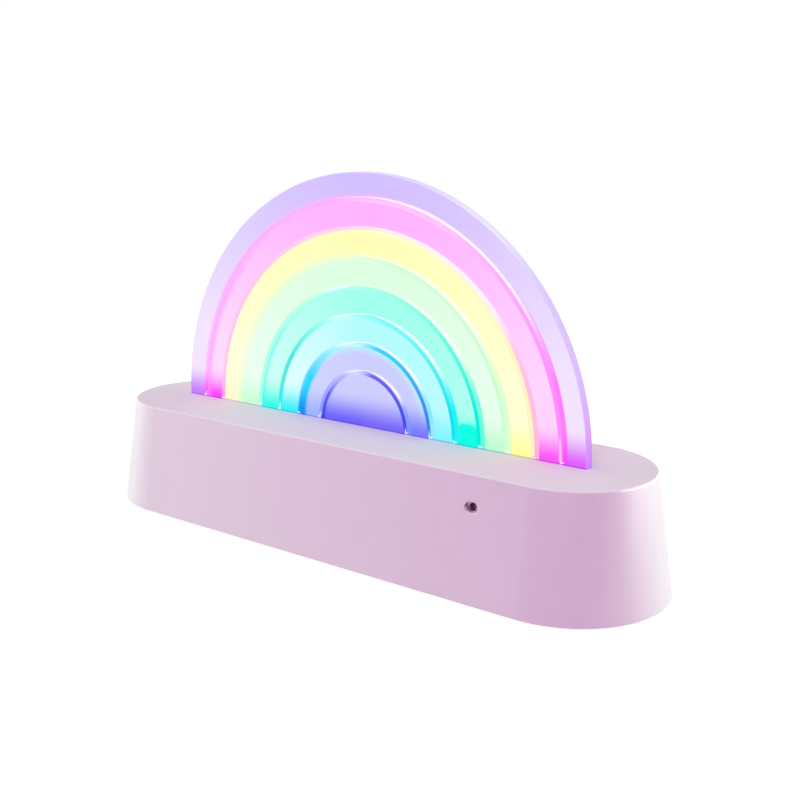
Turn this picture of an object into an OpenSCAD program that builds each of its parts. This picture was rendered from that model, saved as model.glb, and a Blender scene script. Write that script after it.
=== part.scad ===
// Rainbow lamp: a grooved arch panel, lit from its lower edge, stands in a slot of a hollow
// base that holds the lights, the electronics and the battery.
// Millimetres, +Z up. The origin is on the ground under the centre of the base.
// The front, with the microphone opening, faces -Y. The socket and the button face +Y.

/* [Base] */
// Room between the holder's end lugs and the wall, which sets the length of the base
end_room = 2.16; // [1:0.01:30]
// Width of the base at its rim
base_w = 57.4; // [56:0.2:80]
// Height of the base shell
base_h = 34.6; // [33:0.2:60]
// How far every side leans in from the rim to the top
base_lean = 5.2; // [3:0.1:7]
// Thickness of the side wall, measured level
wall = 2.2; // [1.6:0.1:2.6]
// Thickness of the top deck
deck_t = 2.4; // [1.6:0.1:3]
// Rounding of the top edge
top_round_r = 0.9; // [0.4:0.1:1.4]

/* [Light panel] */
// Radius of the arch, measured from the deck
panel_r = 76.9; // [72:0.1:110]
// Thickness of the panel
panel_t = 3.3; // [2.6:0.1:4]
// Radius of the half disc inside the first groove
disc_r = 16.2; // [14:0.1:17]
// Number of grooves
groove_count = 7; // [3:1:7]
// How much narrower the outer band is than the others
outer_band_less = 0.2; // [0:0.1:1]
// Width of a groove at its mouth
groove_w = 1.1; // [0.8:0.1:1.4]
// Depth of a groove
groove_d = 1.9; // [1:0.1:2.2]
// Bevel on the lips of the grooves
groove_lip = 0.15; // [0.05:0.05:0.25]
// Height above the deck at which the grooves end
groove_end_h = 0.9; // [0.5:0.1:2]
// Bevel on the edge of the arch
panel_bevel = 0.35; // [0.1:0.05:0.6]
// Length of the panel's foot below the top of the base
panel_foot_h = 7; // [6:0.1:9]
// How far the ears of the foot reach past the arch
panel_ear = 3; // [2:0.1:4]

/* [Fits] */
// Clearance round the panel in its slot
slot_gap = 0.15; // [0.1:0.05:0.3]
// Clearance between the bottom cover and the wall
cover_gap = 0.2; // [0.1:0.05:0.4]
// Clearance between a screw and its pilot hole
pilot_gap = 0.05; // [0.02:0.01:0.1]
// Clearance of a screw in a plain hole or a counterbore
screw_gap = 0.25; // [0.15:0.05:0.4]
// Clearance of the button in its guide
button_gap = 0.25; // [0.15:0.05:0.4]
// Clearance of small pieces in their seats
seat_gap = 0.05; // [0.02:0.01:0.1]

/* [Bottom cover] */
// Thickness of the cover
cover_t = 2.4; // [2:0.1:3]
// How deep the cover sits inside the rim
cover_recess = 0.8; // [0.4:0.1:1.2]
// Distance of the outer cover screws from the ends of the base
cover_screw_in = 20; // [17:0.5:22]
// Distance of the outer cover screws from the centre, across the base
cover_screw_y = 13; // [12:0.5:14]
// Distance of the middle cover screws from the centre, across the base
cover_mid_y = 17; // [14:0.5:18]
// Radius of the posts that take the cover screws
cover_post_r = 3.2; // [2.8:0.1:3.6]
// Length of a cover screw under its head
cover_screw_l = 8; // [6:0.5:12]

/* [Feet] */
// Radius of a rubber foot
foot_r = 5; // [3.5:0.1:6]
// How far the feet stand out below the rim
foot_proud = 0.6; // [0.4:0.1:1.2]
// Depth of a foot's seat in the cover
foot_seat = 0.6; // [0.4:0.1:0.9]
// Distance of the feet from the ends of the base
foot_in = 38; // [30:1:50]
// Distance of the feet from the centre, across the base
foot_y = 16; // [12:0.5:18]

/* [Screws] */
// Shank radius of the cover and holder screws
screw_r = 1.25; // [1:0.05:1.4]
// Head radius of the cover and holder screws
screw_head_r = 2.4; // [2.2:0.1:2.6]
// Head height of the cover and holder screws
screw_head_h = 1.3; // [1:0.1:1.3]
// Shank radius of the circuit board screws
small_screw_r = 1; // [0.8:0.05:1.1]
// Head radius of the circuit board screws
small_head_r = 1.9; // [1.6:0.1:2]
// Head height of the circuit board screws
small_head_h = 1.2; // [0.8:0.1:1.3]

/* [Panel holder] */
// How far the holder's body reaches past the panel's ears
holder_end = 4.1; // [3.6:0.1:8]
// Width of the holder
holder_w = 14; // [13:0.5:15]
// Depth of a light well under the panel
well_d = 4; // [3:0.1:4.5]
// Length of a light well along the base
well_l = 7.4; // [6:0.1:7.6]
// Width of a light well across the base
well_w = 7; // [6:0.1:7.4]
// Thickness of the lugs that carry the holder
lug_t = 2; // [1.6:0.1:2.4]
// Radius of the lugs and of the posts above them
lug_r = 3.2; // [2.8:0.1:3.4]
// Distance of the side lugs from the centre, along the base
side_lug_x = 38; // [30:0.5:44]
// Distance of the side lugs from the centre, across the base
side_lug_y = 11.5; // [11:0.5:13]
// Distance of the end lugs from the ends of the holder's body
end_lug_out = 4.5; // [4:0.1:8]
// Drop of the lugs below the deck
lug_drop = 4; // [3:0.1:5]
// Length of a holder screw under its head
holder_screw_l = 7; // [6:0.1:7.2]

/* [Lights] */
// Thickness of the light board
led_board_t = 1; // [0.8:0.1:1.6]
// How far the light board reaches past the panel's ears
led_board_end = 2.6; // [2:0.1:4]
// Width of the light board
led_board_w = 13; // [10:0.5:13]
// Side of a light's square case
led_w = 5; // [3:0.1:5.4]
// Height of a light's case
led_h = 1.6; // [1:0.1:2]
// Radius of a light's lens
led_lens_r = 2.1; // [1:0.1:2.2]
// Depth of a light's lens
led_lens_d = 0.9; // [0.4:0.1:1]
// Distance of the two middle lights from the centre
led_mid_x = 6.5; // [6:0.1:8]
// Distance of the outer light board screws from the board's ends
led_screw_in = 3.5; // [2.4:0.1:4]
// Length of a light board screw under its head
led_screw_l = 4; // [3:0.1:4.2]

/* [Main board] */
// Thickness of the main board
board_t = 1.6; // [1:0.1:2]
// Distance of the main board from the right end of the base
board_end = 24.4; // [23.5:0.1:30]
// Length of the main board
board_l = 63.6; // [62:0.2:66]
// Front edge of the main board
board_y0 = -16; // [-18:0.5:-15.5]
// Height of the posts under the main board
board_post_h = 3; // [2.5:0.1:5]
// Radius of the posts under the main board
board_post_r = 2.4; // [2:0.1:2.8]
// Distance of the main board screws from its edges
board_screw_inset = 4.6; // [4:0.1:5]
// Length of a main board screw under its head
board_screw_l = 5; // [4:0.1:5.5]

/* [Pieces on the main board] */
// Distance of the headers from the board's left edge
header_in_x = 6; // [5:0.5:8]
// Distance of the battery's header from the board's front edge
battery_header_in_y = 21; // [20:0.5:24]
// Distance of the lights' header from the board's front edge
led_header_in_y = 11; // [10:0.5:12]
// Distance of the controller chip from the board's left edge
controller_in_x = 34; // [30:0.5:38]
// Distance of the controller chip from the board's front edge
controller_in_y = 13; // [10:0.5:16]
// Distance of the charger chip from the board's left edge
charger_in_x = 20; // [18:0.5:24]
// Distance of the charger chip from the board's front edge
charger_in_y = 25; // [22:0.5:28]
// Distance of the coil from the board's left edge
coil_in_x = 22; // [20:0.5:24]
// Distance of the coil from the board's front edge
coil_in_y = 11; // [10:0.5:14]
// Length of the controller chip
controller_l = 9.9; // [8:0.1:12]
// Length of the charger chip
charger_l = 4.9; // [4.5:0.1:6]
// Width of a chip's body
chip_w = 3.9; // [3:0.1:4]
// Distance of the can capacitors from the board's left edge
can_in_x = 49; // [46:0.5:54]
// Distance of the first can capacitor from the board's front edge
can_in_y = 9; // [8:0.5:10]
// Distance from one can capacitor to the next
can_pitch = 7; // [6:0.5:8]
// Radius of a can capacitor
can_r = 2; // [1.5:0.1:2.2]
// Height of a can capacitor
can_h = 4.4; // [3:0.1:6]
// Side of a can capacitor's square base
can_base_w = 4.3; // [4:0.1:5]
// Thickness of that base
can_base_t = 0.8; // [0.5:0.1:1]
// Distance of the first resistor from the board's left edge
resistor_in_x = 13; // [12:0.5:14]
// Distance of the resistors from the board's front edge
resistor_in_y = 3; // [2:0.1:4]
// Distance from one resistor to the next
resistor_pitch = 3; // [2.6:0.1:3.4]
// Distance of the microphone's wires from the board's front edge
mic_pad_in_y = 5; // [4:0.1:6]
// Distance of the lights' wires, at the light board, from the main board's left edge
led_pad_in_x = 18; // [15:0.5:20]

/* [Socket] */
// Distance of the socket from the main board's left edge
usb_in_x = 20; // [16:0.5:28]
// Width of the socket's metal shell
usb_w = 8.94; // [8.9:0.01:9]
// Height of the socket's metal shell
usb_h = 3.26; // [3.2:0.01:3.3]
// Length of the socket
usb_l = 7.35; // [6.5:0.05:9]
// Thickness of the socket's metal
usb_metal = 0.3; // [0.2:0.05:0.4]
// Depth of the plug's pocket in the wall
usb_pocket_d = 0.8; // [0.5:0.1:1]
// Clearance round the socket in the wall
usb_gap = 0.3; // [0.2:0.05:0.4]
// Margin of the plug's pocket round the socket
usb_pocket_margin = 1.7; // [1.5:0.1:1.9]
// How far the socket stands out past its board
usb_overhang = 2.2; // [1.8:0.1:3]
// How far the board reaches past each side of the socket
usb_board_side = 2; // [1:0.1:3]

/* [Button] */
// Distance of the button from the main board's left edge
button_in_x = 42; // [38:0.5:46]
// Radius of the button
button_r = 4; // [3:0.1:4.2]
// How far the button stands out of the wall
button_proud = 0.8; // [0.4:0.1:1.5]
// Distance from the wall's outside to the inner end of the button's guide
button_guide_l = 3.6; // [3:0.1:4]
// Margin of the guide round the button
button_guide_wall = 1.6; // [1.2:0.1:2]
// Margin of the flange round the button
button_flange = 0.9; // [0.6:0.1:1.1]
// Thickness of the flange
button_flange_t = 0.8; // [0.6:0.1:1.2]
// Travel of the button
button_travel = 0.6; // [0.3:0.05:0.8]
// Width and height of the switch
switch_w = 6; // [5:0.1:6.4]
// Depth of the switch
switch_d = 3.6; // [3:0.1:4]
// How far the switch's plunger stands out
plunger_l = 1.2; // [1.1:0.1:1.6]
// Radius of the switch's plunger
plunger_r = 1.6; // [1:0.1:1.8]
// How deep the plunger sits in the switch
plunger_seat = 1; // [0.6:0.1:1.2]

/* [Microphone] */
// Distance of the microphone from the right end of the base
mic_end = 44.7; // [40:0.1:50]
// Depth of the microphone's middle below the top of the base
mic_drop = 8.7; // [8:0.1:12]
// Width of the opening's oval dish
mic_dish_w = 4.3; // [3.6:0.1:5]
// Height of the opening's oval dish
mic_dish_h = 3.2; // [2.6:0.1:3.5]
// Depth of the dish
mic_dish_d = 0.9; // [0.4:0.1:1.2]
// Radius of the sound hole
mic_hole_r = 1.1; // [0.6:0.05:1.2]
// Radius of the microphone capsule
mic_r = 3; // [2:0.1:3.2]
// Length of the microphone capsule
mic_l = 2.7; // [1.5:0.1:3]
// Wall of the capsule's rubber boot
mic_boot_wall = 1; // [0.6:0.1:1.2]
// Thickness of the felt in front of the capsule
mic_felt_t = 0.4; // [0.3:0.1:0.6]
// Wall of the collar that holds the boot
mic_collar_wall = 1; // [0.8:0.1:1.2]

/* [Battery] */
// Distance of the battery from the left end of the base
battery_end = 27; // [26:0.5:32]
// Length of the battery
battery_l = 60; // [50:0.5:61]
// Width of the battery
battery_w = 34; // [24:0.5:34]
// Thickness of the battery
battery_t = 6; // [4:0.1:8]
// Rounding of the battery's long edges
battery_round = 2; // [0.5:0.1:2.5]
// Length of the sealed ledge at the battery's right end
battery_ledge = 5; // [4:0.1:6]
// Thickness of the foam under the battery
foam_t = 0.8; // [0.5:0.1:1.5]
// Height of the fences round the battery
fence_h = 3; // [2:0.1:5]
// Thickness of the fences
fence_t = 1.2; // [1:0.1:1.6]

/* [Wiring] */
// Radius of a battery or light wire
wire_r = 0.6; // [0.4:0.05:0.7]
// Radius of a microphone wire
mic_wire_r = 0.4; // [0.3:0.05:0.5]
// Distance from one contact to the next in a connector
contact_pitch = 2; // [1.8:0.1:2.5]
// Height of a connector's header
header_h = 6; // [5:0.1:7]
// Width of a header across its row of contacts
header_w = 4.5; // [4.2:0.1:5]
// Wall of a header
header_wall = 0.7; // [0.5:0.05:0.8]
// How far a plug stands out of its header
plug_proud = 1.5; // [0.5:0.1:2.5]
// Distance from one wire to the next at the light board
led_pad_pitch = 2.5; // [2:0.1:3]
// Distance from one wire to the next at the guard board
guard_pad_pitch = 4; // [3:0.1:6]
// Half of the distance between the microphone's wires at the capsule
mic_pin_out = 1; // [0.8:0.1:1.4]
// Length over which a wire bends
wire_bend = 3; // [2.5:0.1:4]

/* [Hidden] */

$fn = 96;
// Overlap that keeps a cut or a joined boss clean
eps = 0.5;

// Heights of the shell
rim_z = foot_proud;
top_z = rim_z + base_h;
deck_z = top_z - deck_t;
// Lean of the sides
lean = base_lean / base_h;
lean_deg = atan(lean);
// Places of the holder's ends and end lugs
ear_x = panel_r + panel_ear;
holder_l = 2 * (ear_x + holder_end);
end_lug_x = holder_l / 2 + end_lug_out;
lug_z = deck_z - lug_drop - lug_t;
// Length of the base at its rim, then the radius and centre of its round ends
base_l = 2 * (end_lug_x + lug_r + end_room + wall + lean * (lug_z - rim_z));
end_r = base_w / 2;
end_x = base_l / 2 - end_r;
// Half width of the outside at a height
function side_y(z) = end_r - lean * (z - rim_z);

// Heights of the cover
cover_z = rim_z + cover_recess;
floor_z = cover_z + cover_t;
head_seat_z = cover_z + screw_head_h + 0.1;
// Places of the cover screws
cover_screw_x = base_l / 2 - cover_screw_in;
cover_screw_places = [
    for (sx = [-1, 1]) for (sy = [-1, 1]) [sx * cover_screw_x, sy * cover_screw_y],
    for (sy = [-1, 1]) [0, sy * cover_mid_y]
];
foot_x = base_l / 2 - foot_in;
foot_places = [for (sx = [-1, 1]) for (sy = [-1, 1]) [sx * foot_x, sy * foot_y]];

// Heights of the panel's foot, the wells and the light board
foot_z = top_z - panel_foot_h;
well_z = foot_z - well_d;
led_board_z = well_z - led_board_t;
led_board_l = 2 * (ear_x + led_board_end);
// Distance from one groove to the next, and the radii of the grooves' middles
groove_pitch = (panel_r + outer_band_less - disc_r) / groove_count;
groove_radii = [for (k = [0:groove_count - 1]) disc_r + groove_w / 2 + k * groove_pitch];
// Places of the lights: two under the half disc, and one under each leg of each band
band_half = (groove_pitch - groove_w) / 2;
led_half_row = concat([led_mid_x], [for (r = groove_radii) r + groove_w / 2 + band_half]);
led_places = [for (side = [-1, 1]) for (x = led_half_row) side * x];
led_screw_x = led_board_l / 2 - led_screw_in;
led_screw_places = [-led_screw_x, 0, led_screw_x];
// Places of the holder's lugs
lug_places = concat(
    [for (sx = [-1, 1]) for (sy = [-1, 1]) [sx * side_lug_x, sy * side_lug_y]],
    [for (sx = [-1, 1]) [sx * end_lug_x, 0]]
);

// Heights of the main board, the socket and the button
board_z = floor_z + board_post_h;
board_top = board_z + board_t;
usb_z = board_top + usb_h / 2;
button_z = board_top + switch_w / 2;
// Places along X of the board and what stands at its back
board_x1 = base_l / 2 - board_end;
board_x0 = board_x1 - board_l;
usb_x = board_x0 + usb_in_x;
button_x = board_x0 + button_in_x;
// Places along Y of the socket and of what the button works on
usb_mouth_y = side_y(usb_z) - usb_pocket_d;
button_wall_y = side_y(button_z);
guide_y = button_wall_y - button_guide_l;
flange_gap = 0.1;
flange_y = guide_y - flange_gap - button_flange_t;
switch_y = flange_y - plunger_l;
board_y1 = switch_y;
board_screw_places = [
    for (x = [board_x0 + board_screw_inset, board_x1 - board_screw_inset])
        for (y = [board_y0 + board_screw_inset, board_y1 - board_screw_inset]) [x, y]
];

// Place of the microphone and the depths of its pieces behind the wall's outside
mic_x = base_l / 2 - mic_end;
mic_z = top_z - mic_drop;
mic_wall_t = wall * cos(lean_deg);
mic_boot_r = mic_r + mic_boot_wall;
mic_boot_lip = 0.8;
mic_boot_l = mic_boot_lip + mic_felt_t + mic_l + 1;
mic_collar_l = mic_boot_l - 0.6;
mic_back = mic_wall_t + seat_gap + mic_boot_lip + mic_felt_t + mic_l;

// Battery
battery_z = floor_z + foam_t;
battery_body_l = battery_l - battery_ledge;
battery_x0 = battery_end - base_l / 2;
battery_x1 = battery_x0 + battery_l;
guard_board_t = 1;
guard_board_z = battery_z + battery_t / 2;

// Places on the main board
battery_header_at = [board_x0 + header_in_x, board_y0 + battery_header_in_y];
led_header_at = [board_x0 + header_in_x, board_y0 + led_header_in_y];
controller_at = [board_x0 + controller_in_x, board_y0 + controller_in_y];
charger_at = [board_x0 + charger_in_x, board_y0 + charger_in_y];
coil_at = [board_x0 + coil_in_x, board_y0 + coil_in_y];
can_places = [for (k = [0:2]) [board_x0 + can_in_x, board_y0 + can_in_y + can_pitch * k]];
resistor_places = [
    for (k = [0:7]) [board_x0 + resistor_in_x + resistor_pitch * k, board_y0 + resistor_in_y]
];
mic_pad_y = board_y0 + mic_pad_in_y;
led_pad_x = board_x0 + led_pad_in_x;

// Connectors, and the height at which wires run between the plugs and the light board
header_floor = 1.2;
plug_top = board_top + header_h + plug_proud;
wire_rise = (led_board_z - plug_top) / 2;
wire_run_z = plug_top + wire_rise;

// A solid with round ends. The outline lists [half width, height] from the bottom up.
module round_ended(outline, half) {
    low = outline[0][1];
    high = outline[len(outline) - 1][1];
    for (side = [0, 1])
        mirror([side, 0, 0])
            translate([half, 0, 0])
                rotate([0, 0, -90])
                    rotate_extrude(angle = 180)
                        polygon(concat([[0, low]], outline, [[0, high]]));
    rotate([90, 0, 90])
        linear_extrude(2 * half, center = true)
            polygon(concat(outline, [for (i = [len(outline) - 1:-1:0]) [-outline[i][0], outline[i][1]]]));
}

// Outline of the base: the leaning side, then the round top edge
round_x = side_y(top_z) - top_round_r * tan((90 - lean_deg) / 2);
round_steps = 6;
base_outline = concat(
    [[end_r, rim_z]],
    [for (i = [0:round_steps])
        let (a = lean_deg + (90 - lean_deg) * i / round_steps)
            [round_x + top_round_r * cos(a), top_z - top_round_r * (1 - sin(a))]]
);

// A flat oval: a rectangle with round ends, centred
module oval(w, h) {
    square([w - h, h], center = true);
    for (side = [-1, 1])
        translate([side * (w - h) / 2, 0])
            circle(d = h);
}

// A rectangle with round corners, centred
module soft_rectangle(w, h, r) {
    square([w - 2 * r, h], center = true);
    square([w, h - 2 * r], center = true);
    for (sx = [-1, 1])
        for (sy = [-1, 1])
            translate([sx * (w / 2 - r), sy * (h / 2 - r)])
                circle(r);
}

// A pan head screw that points up, with the seat of its head at z = 0
module screw(length, shank_r, head_r, head_h) {
    tip = shank_r;
    slot_w = head_r * 0.24;
    slot_d = head_h * 0.55;
    difference() {
        rotate_extrude()
            polygon([
                [0, -head_h],
                [head_r * 0.72, -head_h],
                [head_r * 0.93, -head_h * 0.75],
                [head_r, -head_h * 0.4],
                [head_r, 0],
                [shank_r, 0],
                [shank_r, length - tip],
                [shank_r * 0.3, length],
                [0, length]
            ]);
        for (a = [0, 90])
            rotate([0, 0, a])
                translate([-head_r * 0.55, -slot_w / 2, -head_h - eps])
                    cube([head_r * 1.1, slot_w, slot_d + eps]);
    }
}

// Sweep of a round wire along a route
function unit(v) = v / norm(v);
function curve(a, b, c, d, u) =
    0.5 * (2 * b + (c - a) * u + (2 * a - 5 * b + 4 * c - d) * u * u + (3 * b - a - 3 * c + d) * u * u * u);
function smooth(p, steps) =
    let (last = len(p) - 1)
    concat(
        [for (i = [0:last - 1])
            for (k = [0:steps - 1])
                curve(
                    i == 0 ? 2 * p[0] - p[1] : p[i - 1],
                    p[i],
                    p[i + 1],
                    i == last - 1 ? 2 * p[last] - p[last - 1] : p[i + 2],
                    k / steps
                )],
        [p[last]]
    );
function carried(t, side, i = 0) =
    i >= len(t) ? [] :
    let (v = unit(side - (side * t[i]) * t[i]))
    concat([v], carried(t, v, i + 1));

module wire(route, r, steps = 3, sides = 8) {
    path = smooth(route, steps);
    last = len(path) - 1;
    along = [for (i = [0:last])
        i == 0 ? unit(route[1] - route[0]) :
        i == last ? unit(route[len(route) - 1] - route[len(route) - 2]) :
        unit(path[i + 1] - path[i - 1])];
    first = abs(along[0][0]) < 0.9 ? [1, 0, 0] : [0, 1, 0];
    side = carried(along, first);
    points = [for (i = [0:last])
        for (k = [0:sides - 1])
            path[i] + r * (cos(k * 360 / sides) * side[i] + sin(k * 360 / sides) * cross(along[i], side[i]))];
    skin = [for (i = [0:last - 1])
        for (k = [0:sides - 1])
            let (
                a = i * sides + k,
                b = i * sides + (k + 1) % sides,
                c = b + sides,
                d = a + sides
            )
            each [[a, d, b], [b, d, c]]];
    ends = concat(
        [for (k = [1:sides - 2]) [0, k, k + 1]],
        [for (k = [1:sides - 2]) [last * sides, last * sides + k + 1, last * sides + k]]
    );
    polyhedron(points = points, faces = concat(skin, ends));
}

// Puts its children at the microphone's place, with z = 0 on the wall's outside and +z outward
module at_microphone() {
    translate([mic_x, -side_y(mic_z), mic_z])
        rotate([90 - lean_deg, 0, 0])
            children();
}
function microphone_point(x, y, z) =
    [mic_x + x, y * sin(lean_deg) - z * cos(lean_deg) - side_y(mic_z), mic_z + y * cos(lean_deg) + z * sin(lean_deg)];

// Puts its children at a place on the back wall, with z = 0 at Y = 0 and +z backward
module facing_back(x, z) {
    translate([x, 0, z])
        rotate([-90, 0, 0])
            children();
}

// Housing, open below, with its slot, openings and posts
module base_shell() {
    color("#dcc3da")
        difference() {
            union() {
                difference() {
                    round_ended(base_outline, end_x);
                    round_ended(
                        [[side_y(rim_z - eps) - wall, rim_z - eps], [side_y(deck_z) - wall, deck_z]],
                        end_x
                    );
                }
                for (p = cover_screw_places)
                    translate([p[0], p[1], floor_z])
                        cylinder(h = deck_z - floor_z + eps, r = cover_post_r);
                for (p = lug_places)
                    translate([p[0], p[1], lug_z + lug_t])
                        cylinder(h = lug_drop + eps, r = lug_r);
                at_microphone()
                    translate([0, 0, -mic_wall_t - mic_collar_l])
                        cylinder(h = mic_collar_l + eps, r = mic_boot_r + seat_gap + mic_collar_wall);
                facing_back(button_x, button_z)
                    translate([0, 0, guide_y])
                        cylinder(h = button_guide_l - wall / 2, r = button_r + button_gap + button_guide_wall);
            }
            translate([0, 0, top_z])
                cube([2 * (panel_r + slot_gap), panel_t + 2 * slot_gap, 4 * deck_t], center = true);
            for (p = cover_screw_places)
                translate([p[0], p[1], floor_z - eps])
                    cylinder(h = cover_screw_l + eps, r = screw_r + pilot_gap);
            for (p = lug_places)
                translate([p[0], p[1], lug_z + lug_t - eps])
                    cylinder(h = holder_screw_l - lug_t + eps + 0.3, r = screw_r + pilot_gap);
            at_microphone() {
                translate([0, 0, -mic_dish_d])
                    linear_extrude(mic_dish_d + eps)
                        oval(mic_dish_w, mic_dish_h);
                translate([0, 0, -mic_wall_t - eps])
                    cylinder(h = mic_wall_t, r = mic_hole_r);
                translate([0, 0, -mic_wall_t - mic_collar_l - eps])
                    cylinder(h = mic_collar_l + eps, r = mic_boot_r + seat_gap);
            }
            facing_back(usb_x, usb_z) {
                linear_extrude(end_r + eps)
                    oval(usb_w + 2 * usb_gap, usb_h + 2 * usb_gap);
                translate([0, 0, usb_mouth_y])
                    linear_extrude(end_r)
                        oval(usb_w + 2 * usb_pocket_margin, usb_h + 2 * usb_pocket_margin);
            }
            facing_back(button_x, button_z)
                translate([0, 0, guide_y - eps])
                    cylinder(h = end_r, r = button_r + button_gap);
        }
}

// Plate that closes the base from below
module bottom_cover() {
    color("#d6bbd4")
        difference() {
            union() {
                round_ended(
                    [
                        [side_y(cover_z) - wall - cover_gap, cover_z],
                        [side_y(floor_z) - wall - cover_gap, floor_z]
                    ],
                    end_x
                );
                for (p = board_screw_places)
                    translate([p[0], p[1], floor_z - eps])
                        cylinder(h = board_post_h + eps, r = board_post_r);
                battery_fences();
            }
            for (p = cover_screw_places)
                translate([p[0], p[1], 0]) {
                    translate([0, 0, cover_z - eps])
                        cylinder(h = head_seat_z - cover_z + eps, r = screw_head_r + screw_gap);
                    translate([0, 0, cover_z])
                        cylinder(h = cover_t + eps, r = screw_r + screw_gap);
                }
            for (p = foot_places)
                translate([p[0], p[1], cover_z - eps])
                    cylinder(h = foot_seat + eps, r = foot_r + seat_gap);
            for (p = board_screw_places)
                translate([p[0], p[1], board_z - board_screw_l + board_t - 0.3])
                    cylinder(h = board_screw_l + eps, r = small_screw_r + pilot_gap);
        }
}

// Four corner fences that keep the battery in place
module battery_fences() {
    fence_l = 8;
    for (sy = [-1, 1]) {
        for (x = [battery_x0 + fence_l, battery_x1 - 2 * fence_l])
            translate([x, sy * (battery_w / 2 + screw_gap + fence_t / 2) - fence_t / 2, floor_z - eps])
                cube([fence_l, fence_t, fence_h + eps]);
        for (x = [battery_x0 - screw_gap - fence_t, battery_x1 + screw_gap])
            translate([x, sy * (battery_w / 2 - fence_l) - fence_l / 2, floor_z - eps])
                cube([fence_t, fence_l, fence_h + eps]);
    }
}

module cover_screws() {
    color("#b9bcc0")
        for (p = cover_screw_places)
            translate([p[0], p[1], head_seat_z])
                screw(cover_screw_l, screw_r, screw_head_r, screw_head_h);
}

module rubber_feet() {
    foot_h = cover_z + foot_seat;
    foot_bevel = 0.3;
    color("#e9e4ea")
        for (p = foot_places)
            translate([p[0], p[1], 0])
                rotate_extrude()
                    polygon([
                        [0, 0],
                        [foot_r - foot_bevel, 0],
                        [foot_r, foot_bevel],
                        [foot_r, foot_h],
                        [0, foot_h]
                    ]);
}

// Outline of the arch from its centre outward, as [radius, height over the middle plane]
function arch_outline(grooves) =
    let (face = panel_t / 2)
    concat(
        [[0, -face], [panel_r - panel_bevel, -face], [panel_r, panel_bevel - face], [panel_r, face - panel_bevel],
            [panel_r - panel_bevel, face]],
        [for (i = [len(grooves) - 1:-1:0])
            let (r = grooves[i], half = groove_w / 2, draft = 0.1)
                each [
                    [r + half + groove_lip, face],
                    [r + half, face - groove_lip],
                    [r + half - draft, face - groove_d],
                    [r - half + draft, face - groove_d],
                    [r - half, face - groove_lip],
                    [r - half - groove_lip, face]
                ]],
        [[0, face]]
    );

module arch(grooves) {
    rotate([90, 0, 0])
        rotate_extrude(angle = 180)
            polygon(arch_outline(grooves));
}

// Clear panel: the grooved arch, the plain strip under the grooves' ends, and the foot with its ears
module rainbow_panel() {
    color("#d9c8fb") {
        translate([0, 0, top_z]) {
            arch(groove_radii);
            intersection() {
                arch([]);
                translate([-panel_r, -panel_t, 0])
                    cube([2 * panel_r, 2 * panel_t, groove_end_h]);
            }
        }
        translate([-panel_r, -panel_t / 2, deck_z])
            cube([2 * panel_r, panel_t, deck_t]);
        translate([-ear_x, -panel_t / 2, foot_z])
            cube([2 * ear_x, panel_t, deck_z - foot_z]);
    }
}

// A lug of the holder, with its bridge to the holder's side or end
module lug(p) {
    start = p[1] == 0 ? [sign(p[0]) * (holder_l / 2 - eps), 0] : [p[0], sign(p[1]) * (holder_w / 2 - eps)];
    length = norm(p - start);
    translate([p[0], p[1], lug_z])
        cylinder(h = lug_t, r = lug_r);
    translate([(p[0] + start[0]) / 2, (p[1] + start[1]) / 2, lug_z + lug_t / 2])
        cube(p[1] == 0 ? [length, 2 * lug_r, lug_t] : [2 * lug_r, length, lug_t], center = true);
}

// White channel that clamps the panel's foot to the deck and keeps the lights' colours apart
module panel_holder() {
    color("#f4f3f1")
        difference() {
            union() {
                translate([-holder_l / 2, -holder_w / 2, well_z])
                    cube([holder_l, holder_w, deck_z - well_z]);
                for (p = lug_places)
                    lug(p);
            }
            translate([-ear_x - slot_gap, -panel_t / 2 - slot_gap, foot_z])
                cube([2 * (ear_x + slot_gap), panel_t + 2 * slot_gap, deck_z - foot_z + eps]);
            for (x = led_places)
                translate([x - well_l / 2, -well_w / 2, well_z - eps])
                    cube([well_l, well_w, well_d + eps]);
            for (p = lug_places)
                translate([p[0], p[1], lug_z - eps])
                    cylinder(h = lug_t + 2 * eps, r = screw_r + screw_gap);
            for (x = led_screw_places)
                translate([x, 0, well_z - eps])
                    cylinder(h = led_screw_l - led_board_t + eps + 0.3, r = small_screw_r + pilot_gap);
        }
}

module holder_screws() {
    color("#b9bcc0")
        for (p = lug_places)
            translate([p[0], p[1], lug_z])
                screw(holder_screw_l, screw_r, screw_head_r, screw_head_h);
}

module led_board() {
    color("#eef1ee")
        difference() {
            translate([-led_board_l / 2, -led_board_w / 2, led_board_z])
                cube([led_board_l, led_board_w, led_board_t]);
            for (x = led_screw_places)
                translate([x, 0, led_board_z - eps])
                    cylinder(h = led_board_t + 2 * eps, r = small_screw_r + screw_gap);
        }
}

module led_cases() {
    color("#fbfaf6")
        for (x = led_places)
            difference() {
                translate([x - led_w / 2, -led_w / 2, well_z])
                    cube([led_w, led_w, led_h]);
                translate([x, 0, well_z + led_h - led_lens_d])
                    cylinder(h = led_lens_d + eps, r = led_lens_r + seat_gap);
            }
}

module led_lenses() {
    color("#f5e9b8")
        for (x = led_places)
            translate([x, 0, well_z + led_h - led_lens_d])
                cylinder(h = led_lens_d, r = led_lens_r);
}

// One small capacitor for each light, under the light board
module led_capacitors() {
    size = [1.6, 0.8, 0.5];
    from_middle = 4.5;
    color("#c9a47c")
        for (x = led_places)
            translate([x - size[0] / 2, from_middle - size[1] / 2, led_board_z - size[2]])
                cube(size);
}

module led_board_screws() {
    color("#b9bcc0")
        for (x = led_screw_places)
            translate([x, 0, led_board_z])
                screw(led_screw_l, small_screw_r, small_head_r, small_head_h);
}

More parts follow.
